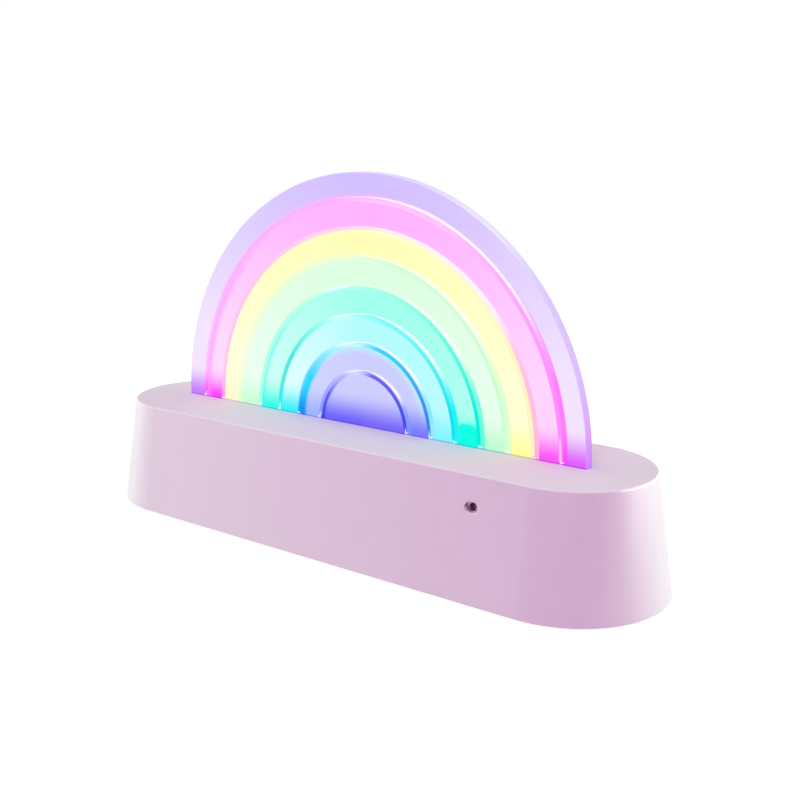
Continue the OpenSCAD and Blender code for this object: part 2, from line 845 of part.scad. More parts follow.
// A header that stands open on the main board, with its row of contacts along Y
module header(at, contacts) {
    size = [header_w, contacts * contact_pitch + 2, header_h];
    difference() {
        translate([at[0] - size[0] / 2, at[1] - size[1] / 2, board_top])
            cube(size);
        translate([at[0] - size[0] / 2 + header_wall, at[1] - size[1] / 2 + header_wall, board_top + header_floor])
            cube([size[0] - 2 * header_wall, size[1] - 2 * header_wall, header_h]);
    }
}

// The plug that fits in that header
module plug(at, contacts) {
    margin = header_wall + seat_gap;
    size = [header_w - 2 * margin, contacts * contact_pitch + 2 - 2 * margin, plug_top - board_top - header_floor];
    translate([at[0] - size[0] / 2, at[1] - size[1] / 2, board_top + header_floor])
        cube(size);
}

function contact_y(at, contacts, k) = at[1] + (k - (contacts - 1) / 2) * contact_pitch;

module led_header() {
    color("#f3efe2")
        header(led_header_at, 3);
}

module led_plug() {
    color("#fbf8ef")
        plug(led_header_at, 3);
}

// Three wires from the light board down to their plug
module led_wires() {
    colours = ["#c8342c", "#3f8f4a", "#2b2b2e"];
    for (k = [0:2]) {
        from_y = led_header_at[1] + k * led_pad_pitch;
        to = [led_header_at[0], contact_y(led_header_at, 3, k)];
        color(colours[k])
            wire(
                [
                    [led_pad_x, from_y, led_board_z],
                    [led_pad_x, from_y, led_board_z - wire_rise / 2],
                    [led_pad_x - wire_bend, from_y, wire_run_z],
                    [to[0] + wire_bend, to[1], wire_run_z],
                    [to[0], to[1], plug_top + wire_rise / 2],
                    [to[0], to[1], plug_top]
                ],
                wire_r
            );
    }
}

// Main board with a tongue under the socket
module main_board() {
    tongue_w = usb_w + 2 * usb_board_side;
    color("#2f7d5b")
        difference() {
            translate([0, 0, board_z]) {
                translate([board_x0, board_y0, 0])
                    cube([board_l, board_y1 - board_y0, board_t]);
                translate([usb_x - tongue_w / 2, board_y1 - eps, 0])
                    cube([tongue_w, usb_mouth_y - usb_overhang - board_y1 + eps, board_t]);
            }
            for (p = board_screw_places)
                translate([p[0], p[1], board_z - eps])
                    cylinder(h = board_t + 2 * eps, r = small_screw_r + screw_gap);
        }
}

module board_screws() {
    color("#b9bcc0")
        for (p = board_screw_places)
            translate([p[0], p[1], board_top])
                rotate([180, 0, 0])
                    screw(board_screw_l, small_screw_r, small_head_r, small_head_h);
}

// A chip on the main board with a row of bent leads along each long side
module chip(at, length, width, leads) {
    lead_pitch = 1.27;
    lead_w = 0.42;
    lead_l = 1;
    lead_t = 0.2;
    lift = 0.1;
    body_h = 1.5;
    translate([at[0], at[1], board_top]) {
        translate([-length / 2, -width / 2, lift])
            cube([length, width, body_h]);
        for (side = [0, 1])
            mirror([0, side, 0])
                for (k = [0:leads - 1])
                    translate([(k - (leads - 1) / 2) * lead_pitch - lead_w / 2, width / 2, 0]) {
                        translate([0, -eps, body_h / 2])
                            cube([lead_w, lead_t + eps, lead_t]);
                        cube([lead_w, lead_t, body_h / 2 + lead_t]);
                        cube([lead_w, lead_l, lead_t]);
                    }
    }
}

module controller_chip() {
    color("#26272a")
        chip(controller_at, controller_l, chip_w, 7);
}

module charger_chip() {
    color("#26272a")
        chip(charger_at, charger_l, chip_w, 4);
}

// Drum coil of the converter that lifts the battery's voltage for the lights
module boost_coil() {
    drum_r = 3;
    waist_r = 2.5;
    drum_h = 3;
    rim_h = 0.6;
    color("#3c3d40")
        translate([coil_at[0], coil_at[1], board_top])
            rotate_extrude()
                polygon([
                    [0, 0],
                    [drum_r, 0],
                    [drum_r, rim_h],
                    [waist_r, rim_h],
                    [waist_r, drum_h - rim_h],
                    [drum_r, drum_h - rim_h],
                    [drum_r, drum_h],
                    [0, drum_h]
                ]);
}

module board_capacitors() {
    color("#c5c8cc")
        for (p = can_places)
            translate([p[0], p[1], board_top]) {
                translate([-can_base_w / 2, -can_base_w / 2, 0])
                    cube([can_base_w, can_base_w, can_base_t]);
                cylinder(h = can_h, r = can_r);
            }
}

module board_resistors() {
    size = [2, 1.25, 0.5];
    color("#303236")
        for (p = resistor_places)
            translate([p[0] - size[0] / 2, p[1] - size[1] / 2, board_top])
                cube(size);
}

// Metal shell of the charging socket, open at the back of the lamp
module usb_socket() {
    color("#c3c6ca")
        facing_back(usb_x, usb_z)
            difference() {
                translate([0, 0, usb_mouth_y - usb_l])
                    linear_extrude(usb_l)
                        oval(usb_w, usb_h);
                translate([0, 0, usb_mouth_y - usb_l + usb_metal])
                    linear_extrude(usb_l)
                        oval(usb_w - 2 * usb_metal, usb_h - 2 * usb_metal);
            }
}

// Insulator inside the socket, with the tongue that carries the contacts
module usb_tongue() {
    block_l = 2.2;
    tongue_w = 6.7;
    tongue_t = 0.7;
    tongue_setback = 1;
    inside = usb_metal + seat_gap;
    color("#2a2b2e")
        facing_back(usb_x, usb_z)
            translate([0, 0, usb_mouth_y - usb_l + usb_metal]) {
                linear_extrude(block_l)
                    oval(usb_w - 2 * inside, usb_h - 2 * inside);
                translate([-tongue_w / 2, -tongue_t / 2, 0])
                    cube([tongue_w, tongue_t, usb_l - usb_metal - tongue_setback]);
            }
}

// Push switch on the main board, with the bore that guides its plunger
module mode_switch() {
    bore_spare = 0.4;
    color("#2c2d31")
        facing_back(button_x, button_z)
            difference() {
                translate([0, 0, switch_y - switch_d])
                    linear_extrude(switch_d)
                        square(switch_w, center = true);
                translate([0, 0, switch_y - plunger_seat - button_travel - bore_spare])
                    cylinder(h = switch_d, r = plunger_r + 0.15);
            }
}

module switch_plunger() {
    color("#e8e6e0")
        facing_back(button_x, button_z)
            translate([0, 0, switch_y - plunger_seat])
                cylinder(h = plunger_seat + plunger_l, r = plunger_r);
}

// Button with a dished face and the flange that keeps it in its guide
module mode_button() {
    edge = 0.4;
    dish_r = 14;
    dish_d = 0.3;
    face_y = button_wall_y + button_proud;
    color("#e6d2e4")
        facing_back(button_x, button_z)
            difference() {
                rotate_extrude()
                    polygon([
                        [0, flange_y],
                        [button_r + button_flange, flange_y],
                        [button_r + button_flange, flange_y + button_flange_t],
                        [button_r, flange_y + button_flange_t],
                        [button_r, face_y - edge],
                        [button_r - edge * 0.3, face_y - edge * 0.3],
                        [button_r - edge, face_y],
                        [0, face_y]
                    ]);
                translate([0, 0, face_y + dish_r - dish_d])
                    sphere(dish_r);
            }
}

module mic_capsule() {
    color("#c8cacd")
        at_microphone()
            translate([0, 0, -mic_back])
                cylinder(h = mic_l, r = mic_r);
}

module mic_felt() {
    color("#1d1a20")
        at_microphone()
            translate([0, 0, -mic_back + mic_l])
                cylinder(h = mic_felt_t, r = mic_r);
}

// Rubber cup that seals the capsule to the wall
module mic_boot() {
    front = -mic_wall_t - seat_gap;
    color("#3a3340")
        at_microphone()
            rotate_extrude()
                polygon([
                    [mic_hole_r, front],
                    [mic_boot_r, front],
                    [mic_boot_r, front - mic_boot_l],
                    [mic_r + seat_gap, front - mic_boot_l],
                    [mic_r + seat_gap, front - mic_boot_lip],
                    [mic_hole_r, front - mic_boot_lip]
                ]);
}

// Two wires from the back of the capsule down to the main board
module mic_wires() {
    colours = ["#c8342c", "#2b2b2e"];
    for (k = [0, 1]) {
        side = 2 * k - 1;
        start = microphone_point(side * mic_pin_out, 0, -mic_back);
        leave = microphone_point(side * mic_pin_out, 0, -mic_back - wire_bend / 2);
        pad = [mic_x + 1.4 * side * mic_pin_out, mic_pad_y, board_top];
        color(colours[k])
            wire(
                [
                    start,
                    leave,
                    [start[0], leave[1] + wire_bend, leave[2] - wire_bend],
                    [pad[0], pad[1] - wire_bend / 4, (leave[2] + pad[2]) / 2],
                    [pad[0], pad[1], pad[2] + wire_bend],
                    pad
                ],
                mic_wire_r
            );
    }
}

// Flat cell: the rounded body and the sealed ledge at its right end
module battery_cell() {
    color("#b7bcc2") {
        translate([battery_x0, 0, battery_z + battery_t / 2])
            rotate([90, 0, 90])
                linear_extrude(battery_body_l)
                    soft_rectangle(battery_w, battery_t, battery_round);
        translate([battery_x0 + battery_body_l - eps, -battery_w / 2 + battery_round, battery_z])
            cube([battery_ledge + eps, battery_w - 2 * battery_round, battery_t / 2]);
    }
}

module battery_guard_board() {
    margin = 0.4;
    width = battery_w - 2 * battery_round - 4;
    color("#2f7d5b")
        translate([battery_x0 + battery_body_l + margin, -width / 2, guard_board_z])
            cube([battery_ledge - 2 * margin, width, guard_board_t]);
}

module battery_foam() {
    margin = 3;
    color("#f0eee6")
        translate([battery_x0 + margin, -battery_w / 2 + margin, floor_z])
            cube([battery_body_l - 2 * margin, battery_w - 2 * margin, foam_t]);
}

module battery_header() {
    color("#f3efe2")
        header(battery_header_at, 2);
}

module battery_plug() {
    color("#fbf8ef")
        plug(battery_header_at, 2);
}

// Two wires from the guard board to the battery's plug
module battery_wires() {
    colours = ["#c8342c", "#2b2b2e"];
    start_x = battery_x1 - battery_ledge / 2;
    start_z = guard_board_z + guard_board_t;
    for (k = [0, 1]) {
        from_y = battery_header_at[1] + (k - 0.5) * guard_pad_pitch;
        to = [battery_header_at[0], contact_y(battery_header_at, 2, k)];
        color(colours[k])
            wire(
                [
                    [start_x, from_y, start_z],
                    [start_x, from_y, start_z + wire_bend],
                    [start_x + 2 * wire_bend, from_y, (start_z + wire_run_z) / 2],
                    [to[0] - 3 * wire_bend, to[1], wire_run_z],
                    [to[0] - wire_bend, to[1], wire_run_z],
                    [to[0], to[1], plug_top + wire_rise / 2],
                    [to[0], to[1], plug_top]
                ],
                wire_r
            );
    }
}

base_shell();
bottom_cover();
cover_screws();
rubber_feet();
rainbow_panel();
panel_holder();
holder_screws();
led_board();
led_cases();
led_lenses();
led_capacitors();
led_board_screws();
led_header();
led_plug();
led_wires();
main_board();
board_screws();
controller_chip();
charger_chip();
boost_coil();
board_capacitors();
board_resistors();
usb_socket();
usb_tongue();
mode_switch();
switch_plunger();
mode_button();
mic_capsule();
mic_felt();
mic_boot();
mic_wires();
battery_cell();
battery_guard_board();
battery_foam();
battery_header();
battery_plug();
battery_wires();
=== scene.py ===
"""Looks of the rainbow lamp: finishes for its pieces, and the stage that shows it."""
import math
from collections import namedtuple

import bpy
from bpy.props import FloatProperty, FloatVectorProperty, PointerProperty
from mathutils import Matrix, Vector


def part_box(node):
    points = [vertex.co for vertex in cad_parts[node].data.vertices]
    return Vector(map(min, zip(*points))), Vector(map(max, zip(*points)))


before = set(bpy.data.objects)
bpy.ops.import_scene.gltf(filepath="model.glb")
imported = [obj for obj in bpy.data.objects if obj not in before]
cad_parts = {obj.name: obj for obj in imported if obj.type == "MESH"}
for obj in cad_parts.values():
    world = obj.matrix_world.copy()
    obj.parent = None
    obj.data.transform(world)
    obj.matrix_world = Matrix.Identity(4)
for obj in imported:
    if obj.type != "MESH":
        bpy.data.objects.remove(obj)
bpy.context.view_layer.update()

bl_info = {
    "name": "Rainbow lamp looks",
    "version": (1, 0, 0),
    "blender": (4, 5, 0),
    "location": "3D View > Sidebar > Lamp",
    "description": "Finishes of a rainbow lamp and the stage that shows it",
    "category": "Object",
}

MM = 0.001

# Kinds of node that come up often. A range takes its value, two ends that it comes from and two that
# it goes to, else 0 and 1. A mix has its factor at 0, two numbers at 2 and 3 and two colours at 6 and 7.
VECTOR_MATH = "ShaderNodeVectorMath"
COMBINE = "ShaderNodeCombineXYZ"
RANGE = "ShaderNodeMapRange"
RAMP = "ShaderNodeValToRGB"
MIX = "ShaderNodeMix"

# Sizes of the lamp that the materials line up with, in millimetres
DECK_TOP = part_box("base_shell")[1].z / MM
PANEL_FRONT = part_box("rainbow_panel")[0].y / MM
PANEL_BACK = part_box("rainbow_panel")[1].y / MM
ARCH_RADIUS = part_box("rainbow_panel")[1].z / MM - DECK_TOP
DISC_RADIUS = 16.2
OUTER_BAND_LESS = 0.2
GROOVE_WIDTH = 1.1
GROOVE_COUNT = 7
GROOVE_PITCH = (ARCH_RADIUS + OUTER_BAND_LESS - DISC_RADIUS) / GROOVE_COUNT
FIRST_GROOVE = DISC_RADIUS + GROOVE_WIDTH / 2
# Distance of the innermost lights and their capacitors from the middle
FIRST_LIGHT = 6.5

# Middle of the microphone's opening along the base and up, and the size of its dish and hole
MIC_DROP = 8.7
MIC_X = (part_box("mic_capsule")[0].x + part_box("mic_capsule")[1].x) / 2 / MM
MIC_Z = DECK_TOP - MIC_DROP
MIC_DISH_WIDTH = 4.3
MIC_DISH_HEIGHT = 3.2
MIC_HOLE_RADIUS = 1.1

# The shell's painted sheen grows with this power of how far it turns away, from this least share
PAINTED_SHEEN_POWER = 1.2
LEAST_PAINTED_SHEEN = 0.04

# Tin over copper or nickel, on leads and the ends of small pieces
TINNED = "#c9ccd0"

# Bands from the half disc outward: colour at the crown, half way down and at either foot, and how
# much paler the band is on its left half
BAND_PARTS = ("crown", "middle", "right_foot", "left_foot")
Band = namedtuple("Band", ("name", *BAND_PARTS, "paler"))
BANDS = (
    Band("half_disc", "#cccdfc", "#cccdfc", "#7a68f2", "#6a64f6", 0.0),
    Band("periwinkle", "#cbccfe", "#c6ccfe", "#7a7cfe", "#9cb4fe", 0.1),
    Band("cyan", "#b1f9fe", "#b8fafe", "#84f4fc", "#30f2f8", 0.45),
    Band("mint", "#9efde9", "#aafdee", "#00ffe2", "#30fce2", 0.3),
    Band("pale_green", "#dafede", "#e4feea", "#bcfad0", "#c8fdd6", 0.15),
    Band("yellow", "#fdfdb6", "#fdfdd2", "#fdffa0", "#f9f9ce", 0.1),
    Band("pink", "#feb0fe", "#fed2fb", "#fe54f4", "#ff3cff", 0.1),
    Band("lilac", "#cfbcff", "#f0e0fd", "#dc60f8", "#c67efa", 0.1),
)
# The bands' colour ramps run from the middle to this radius
BAND_REACH = 80.0
# Grooves from the half disc outward. Low and high are the colours of the line itself at the right
# foot and towards the crown, and climb is how far it goes: 0.5 is the crown, 1 the left foot.
# Right is the colour of the strip seen through the plastic outside the groove on the right leg, and
# right_low its colour at the foot. Pale is the strength of the pale line, a painted highlight, that takes
# its place higher up, from near to far out, and past is its strength past the crown. Left and left_low are
# the colours of the strip on the left leg, of this strength, from start to end, with the soft widths halo
# and fade. Inner and outer are the soft widths of the bands' edges. The posts are the heights of the thin
# painted highlights that stand upright at the right and left foot.
Groove = namedtuple(
    "Groove",
    "low high right right_low climb pale past near far left left_low strip start end halo fade inner outer "
    "right_post left_post",
)
GROOVES = (
    Groove("#5058ec", "#7874e8", "#98a8ff", "#8090ff", 0.49, 0.90, 0.80, 1.00, 2.2,
           "#665cf8", "#4440ea", 1.0, -1.85, 0.1, 0.4, 0.7, 0.4, 0.4, 2.0, 2.5),
    Groove("#5090ee", "#48d6f2", "#84e6ff", "#98e8ff", 0.49, 0.90, 0.80, 1.00, 2.2,
           "#0ad8fa", "#0c90f0", 1.0, -2.5, 0.8, 0.8, 0.6, 2.8, 0.5, 2.5, 1.0),
    Groove("#18e4f0", "#8cf2f4", "#08f8f2", "#20f2ea", 0.49, 0.85, 0.70, 1.00, 2.2,
           "#28e8e0", "#20f0f0", 0.95, -0.8, 0.75, 0.8, 0.4, 0.8, 0.5, 1.2, 3.0),
    Groove("#10eedc", "#9cfbe4", "#6cfbde", "#60fadf", 0.44, 0.75, 0.60, 1.00, 2.2,
           "#86fae8", "#30fcf8", 0.95, -1.9, 0.3, 0.7, 0.9, 0.7, 0.7, 1.0, 3.0),
    Groove("#d3fad9", "#d6f8d8", "#dcfdcc", "#e2fdc9", 0.50, 0.60, 0.15, 0.55, 2.2,
           "#e8fcdc", "#e8fcdc", 0.0, -1.6, -0.8, 0.4, 0.4, 1.0, 2.2, 0.0, 0.0),
    Groove("#f9f1c8", "#fcf3d6", "#fbbcdc", "#fbb0d8", 0.50, 0.75, 0.10, 0.55, 2.2,
           "#fdc8ee", "#fcaee4", 0.8, -0.3, 0.9, 0.5, 0.5, 0.9, 0.9, 1.0, 1.5),
    Groove("#fa9cf9", "#f9c8f8", "#fb7cfb", "#fc48fe", 0.54, 0.90, 0.00, 0.20, 1.5,
           "#f8a4fa", "#fa7cfb", 0.8, -2.5, 0.3, 1.3, 0.7, 0.5, 2.2, 7.5, 2.0),
)
# The numbers above lie from here to here, since a colour ramp only holds values from 0 to 1
GROOVE_LOW, GROOVE_HIGH = -3.0, 8.0

# Colours of the arch's edge, each from a turn: 0 at the right foot, 0.5 at the crown, 1 at the left. The pale
# ones near the crown are a painted highlight.
ARCH_EDGE = (
    (0.0, "#d484fc"), (0.04, "#dea8fa"), (0.09, "#ddbcfa"), (0.2, "#d9c8fb"), (0.3, "#e9e3fd"),
    (0.42, "#dfd3fb"), (1.0, "#dfc9ff"),
)
# Turns over which marks of the panel go from none to full, and the line's colour from low to high
RIGHT_STRIP_TURNS = (0.24, 0.1)
LEFT_STRIP_TURNS = (0.6, 0.82)
LEFT_WIDTH_TURNS = (0.56, 0.78)
LEFT_PALER_TURNS = (0.5, 0.85)
LINE_COLOUR_TURNS = (0.08, 0.36)
# Turns between which the pale line shows, and those over which its strength changes at the crown
PALE_LINE_TURNS = (0.19, 0.62)
PAST_CROWN_TURNS = (0.45, 0.55)
# Heights over the deck, in millimetres, where the mint band's full glow starts to fade and ends
MINT_GLOW = (7.4, 9.2)
# Depths behind the panel's front over which a groove's own line begins to show
LINE_DEPTHS = (0.02, 0.12)


def linear(hex_colour):
    """An sRGB hex colour as linear red, green and blue."""
    parts = [int(hex_colour[i:i + 2], 16) / 255 for i in (1, 3, 5)]
    return tuple(c / 12.92 if c <= 0.04045 else ((c + 0.055) / 1.055) ** 2.4 for c in parts)


def connect(node, inputs):
    """Gives inputs of a node, by name or in order, their links or values. Colours may be in sRGB hex."""
    for key, value in inputs.items() if isinstance(inputs, dict) else enumerate(inputs):
        socket = node.inputs[key]
        if isinstance(value, bpy.types.NodeSocket):
            node.id_data.links.new(value, socket)
        elif isinstance(value, str):
            socket.default_value = (*linear(value), 1.0)
        elif socket.type == "RGBA" and len(value) == 3:
            socket.default_value = (*value, 1.0)
        else:
            socket.default_value = value


def add(tree, kind, inputs=(), **settings):
    """Adds a node with its settings and inputs, and returns its first live output.

    A kind in capitals is a maths node with this operation.
    """
    if kind.isupper():
        kind, settings["operation"] = "ShaderNodeMath", kind
    node = tree.nodes.new(kind)
    for name, value in settings.items():
        setattr(node, name, value)
    connect(node, inputs)
    return next((out for out in node.outputs if out.enabled), node)


def set_stops(ramp_output, stops, interpolation="LINEAR"):
    """Gives a colour ramp its stops, each a position and a linear colour."""
    ramp = ramp_output.node.color_ramp
    ramp.interpolation = interpolation
    while len(ramp.elements) < len(stops):
        ramp.elements.new(1.0)
    for element, (position, colour) in zip(ramp.elements, stops):
        element.position = position
        element.color = (*colour, 1.0)


def empty_tree(owner):
    """Takes all nodes out of a material or a world and returns its node tree."""
    owner.use_nodes = True
    owner.node_tree.nodes.clear()
    return owner.node_tree


def dress(pieces, name):
    """Puts a new material on these CAD nodes, and returns its node tree and its Principled shader."""
    material = bpy.data.materials.new(name)
    tree = empty_tree(material)
    shader = add(tree, "ShaderNodeBsdfPrincipled").node
    add(tree, "ShaderNodeOutputMaterial", [shader.outputs[0]])
    for piece in pieces:
        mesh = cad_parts[piece].data
        mesh.materials.clear()
        mesh.materials.append(material)
    return tree, shader


def millimetres(tree):
    """The place on the lamp as X, Y and Z in millimetres."""
    place = add(tree, "ShaderNodeTexCoord").node.outputs["Object"]
    scaled = add(tree, VECTOR_MATH, {0: place, "Scale": 1 / MM}, operation="SCALE")
    return add(tree, "ShaderNodeSeparateXYZ", [scaled]).node.outputs


def upward(tree):
    """How far the surface faces up: 1 on top, 0 on a wall and -1 underneath."""
    normal = add(tree, "ShaderNodeNewGeometry").node.outputs["Normal"]
    return add(tree, "ShaderNodeSeparateXYZ", [normal]).node.outputs[2]


def rising(tree, value, limit, soft):
    """A mask that goes from 0 to 1 over a soft width on both sides of a limit."""
    value = add(tree, "SUBTRACT", [value, limit])
    value = add(tree, "DIVIDE", [value, soft])
    return add(tree, RANGE, [value, -1.0, 1.0], interpolation_type="SMOOTHSTEP")


def overlap(tree, *masks):
    """A mask of what lies in all of these masks."""
    whole = masks[0]
    for mask in masks[1:]:
        whole = add(tree, "MULTIPLY", [whole, mask])
    return whole


def between(tree, value, low, high, soft):
    """A mask that is 1 from low to high and fades out over a soft width on both sides."""
    return overlap(tree, rising(tree, value, low, soft), rising(tree, high, value, soft))


def surface(
    pieces, name, colour, other, roughness, grain, depth, stretch=(1, 1, 1), metallic=0.0, ior=1.5, marks=(),
):
    """Gives CAD nodes a material whose colour is clouded with another, and returns its shader.

    The size and depth of its grain are in millimetres. Marks lie over it: each is a function that makes
    its mask, then its colour, roughness and metallic.
    """
    tree, shader = dress(pieces, name)
    place = add(tree, "ShaderNodeTexCoord").node.outputs["Object"]
    place = add(tree, VECTOR_MATH, [place, stretch], operation="MULTIPLY")
    fine = add(tree, "ShaderNodeTexNoise", {"Vector": place, "Scale": 1 / (grain * MM), "Detail": 3.0})
    cloud = add(tree, "ShaderNodeTexNoise", {"Vector": place, "Scale": 1 / (grain * 20 * MM), "Detail": 2.0})
    share = add(tree, RANGE, [cloud, 0.35, 0.65])
    base = add(tree, MIX, {0: share, 6: colour, 7: other}, data_type="RGBA")
    rough = add(tree, RANGE, [fine, 0.3, 0.7, max(0.0, roughness - 0.05), min(1.0, roughness + 0.05)])
    metal = metallic
    for mask_of, mark_colour, mark_roughness, mark_metallic in marks:
        mask = mask_of(tree)
        base = add(tree, MIX, {0: mask, 6: base, 7: mark_colour}, data_type="RGBA")
        rough = add(tree, MIX, {0: mask, 2: rough, 3: mark_roughness})
        if mark_metallic != metallic or metal != metallic:
            metal = add(tree, MIX, {0: mask, 2: metal, 3: mark_metallic})
    bump = add(tree, "ShaderNodeBump", {"Height": fine, "Strength": 1.0, "Distance": depth * MM})
    connect(shader, {"Base Color": base, "Metallic": metal, "Roughness": rough, "IOR": ior, "Normal": bump})
    return shader


def microphone_marks(tree):
    """The mask of the microphone's dish, and the marks in and round it, each a mask and a colour: painted
    shade in the dish and in the sound hole, and a painted highlight on the dish's lip.
    """
    x, y, z = millimetres(tree)
    front = add(tree, "LESS_THAN", [y, 0.0])
    along = add(tree, "SUBTRACT", [x, MIC_X])
    up = add(tree, "SUBTRACT", [z, MIC_Z])
    # Painted shade makes the sound hole's own wall dark too
    hole = add(tree, VECTOR_MATH, [add(tree, COMBINE, [along, up, 0.0])], operation="LENGTH")
    hole = add(tree, "LESS_THAN", [hole, MIC_HOLE_RADIUS + 0.04])
    # From here on in shares of the dish's half width and half height, so its edge lies 1 out
    along = add(tree, "DIVIDE", [along, MIC_DISH_WIDTH / 2])
    up = add(tree, "DIVIDE", [up, MIC_DISH_HEIGHT / 2])
    out = add(tree, VECTOR_MATH, [add(tree, COMBINE, [along, up, 0.0])], operation="LENGTH")
    dish = overlap(tree, rising(tree, 1.0, out, 0.03), front)
    # Painted shade darkens the dish on its left and lower left, and a painted highlight makes its lip pale on
    # the right
    dish_shade = add(tree, "MULTIPLY_ADD", [up, 0.5, along])
    dish_shade = overlap(tree, rising(tree, -0.55, dish_shade, 0.2), dish)
    limit = add(tree, "ADD", [up, 0.2])
    lip_highlight_strength = 0.5
    lip_highlight = overlap(tree, between(tree, out, 1.02, 1.16, 0.05), front, rising(tree, along, limit, 0.5), lip_highlight_strength)
    hole = overlap(tree, hole, front)
    return dish, [(dish, "#cfa4c6"), (dish_shade, "#8a5f82"), (hole, "#6a4265"), (lip_highlight, "#fff0fc")]


def moulded_abs_shell(settings):
    """Moulded ABS with a spark-eroded grain: an even pastel, with a painted sheen that fades it to white
    where it turns away.
    """
    # The real grain of about 0.05 mm is too fine to show, so it is drawn at 0.3 mm
    shader = surface(
        ["base_shell", "bottom_cover"], "moulded_abs_shell", settings.colour,
        [0.98 * c for c in settings.colour], settings.side_roughness, grain=0.3, depth=0.002, ior=1.54,
    )
    tree = shader.id_data
    # The deck has a matter grain than the sides
    side_rough = shader.inputs["Roughness"].links[0].from_socket
    deck = add(tree, RANGE, [upward(tree), 0.5, 0.95])
    rough = add(tree, MIX, {0: deck, 2: side_rough, 3: settings.deck_roughness})
    # Painted sheen: the colour fades towards white wherever the shell turns away from the view, which whitens
    # its ends, and a fixed share of it paints the deck paler
    away = add(tree, "ShaderNodeLayerWeight", {"Blend": 0.5}).node.outputs["Facing"]
    sheen_share = add(tree, "POWER", [away, PAINTED_SHEEN_POWER])
    sheen_share = add(tree, "MULTIPLY_ADD", [sheen_share, settings.painted_sheen, LEAST_PAINTED_SHEEN])
    sheen_share = add(tree, "MINIMUM", [sheen_share, settings.most_painted_sheen])
    sheen_share = add(tree, MIX, {0: deck, 2: sheen_share, 3: settings.deck_painted_sheen})
    pale = add(tree, MIX, {0: deck, 6: "#fcf9fb", 7: "#f5f1f4"}, data_type="RGBA")
    dish, marks = microphone_marks(tree)
    colour = shader.inputs["Base Color"].links[0].from_socket
    for mask, mark in [(sheen_share, pale), *marks]:
        colour = add(tree, MIX, {0: mask, 6: colour, 7: mark}, data_type="RGBA")
    # The deck and the dish don't mirror, so that the panel's colours hardly show in them
    level = add(tree, RANGE, [deck, 0.0, 1.0, 0.5, 0.0])
    outside_dish = add(tree, "SUBTRACT", [1.0, dish])
    level = overlap(tree, level, outside_dish)
    connect(shader, {"Base Color": colour, "Roughness": rough, "Specular IOR Level": level})


# Where a point of the panel lies, in millimetres: along the base, over the deck, behind the front, in
# the front's plane and from the arch's middle. Across goes from 1 at the right to -1 at the left, and
# upright is 1 at the crown. Turn is 0 at the right foot, 0.5 at the crown and 1 at the left foot. Step
# is the number of the nearest groove, and off how far outside its middle the point lies. Before is 0
# near the back face and 1 in front of it.
PanelPlace = namedtuple("PanelPlace", "x height depth flat radius across upright turn step off before")


def place_on_panel(tree):
    """Works out where a point of the panel lies."""
    x, y, z = millimetres(tree)
    height = add(tree, "SUBTRACT", [z, DECK_TOP])
    depth = add(tree, "SUBTRACT", [y, PANEL_FRONT])
    flat = add(tree, COMBINE, [x, 0.0, height])
    radius = add(tree, VECTOR_MATH, [flat], operation="LENGTH")
    across = add(tree, "DIVIDE", [x, radius])
    upright = add(tree, "DIVIDE", [height, radius])
    turn = add(tree, "DIVIDE", [add(tree, "ARCTAN2", [height, x]), math.pi])
    last = GROOVE_COUNT - 1.0
    step = add(tree, RANGE, [radius, FIRST_GROOVE, FIRST_GROOVE + GROOVE_PITCH * last, 0.0, last])
    step = add(tree, "ROUND", [step])
    middle = add(tree, "MULTIPLY_ADD", [step, GROOVE_PITCH, FIRST_GROOVE])
    off = add(tree, "SUBTRACT", [radius, middle])
    back_skin = 0.6
    before = add(tree, "LESS_THAN", [depth, PANEL_BACK - PANEL_FRONT - back_skin])
    return PanelPlace(x, height, depth, flat, radius, across, upright, turn, step, off, before)


def by_band(tree, distance, colours):
    """One colour for each band, by the distance from the arch's middle."""
    innermost = FIRST_GROOVE - GROOVE_PITCH
    share = add(tree, RANGE, [distance, innermost, innermost + GROOVE_PITCH * len(BANDS)])
    ramp = add(tree, RAMP, [share])
    set_stops(ramp, [(k / len(BANDS), colour) for k, colour in enumerate(colours)], "CONSTANT")
    return ramp


def band_colours(tree, settings, place):
    """The bands' colour round the arch, and their colour at its feet."""
    along = add(tree, "DIVIDE", [place.radius, BAND_REACH])
    ramps = []
    for part in BAND_PARTS:
        widest = 0.5 if part.endswith("foot") else 3.0
        stops = []
        for k, band in enumerate(BANDS):
            groove = FIRST_GROOVE + GROOVE_PITCH * k
            inner = 0.0 if k == 0 else groove - GROOVE_PITCH + GROOVES[k - 1].outer
            outer = BAND_REACH if k == GROOVE_COUNT else groove - min(GROOVES[k].inner, widest)
            colour = tuple(getattr(settings, f"{band.name}_{part}"))
            stops += [(inner / BAND_REACH, colour), (outer / BAND_REACH, colour)]
        ramp = add(tree, RAMP, [along])
        set_stops(ramp, stops)
        ramps.append(ramp)
    crown, half_way, right_foot, left_foot = ramps
    left_share = add(tree, RANGE, [place.across, 0.6, -0.6])
    foot = add(tree, MIX, {0: left_share, 6: right_foot, 7: left_foot}, data_type="RGBA")
    lift = add(tree, RANGE, [place.upright, 0.34, 1.0])
    face = add(tree, MIX, {0: lift, 6: half_way, 7: crown}, data_type="RGBA")
    paler = by_band(tree, place.radius, [(band.paler,) * 3 for band in BANDS])
    paler = overlap(tree, paler, add(tree, RANGE, [place.turn, *LEFT_PALER_TURNS]))
    face = add(tree, MIX, {0: paler, 6: face, 7: "#fbffff"}, data_type="RGBA")
    return face, foot


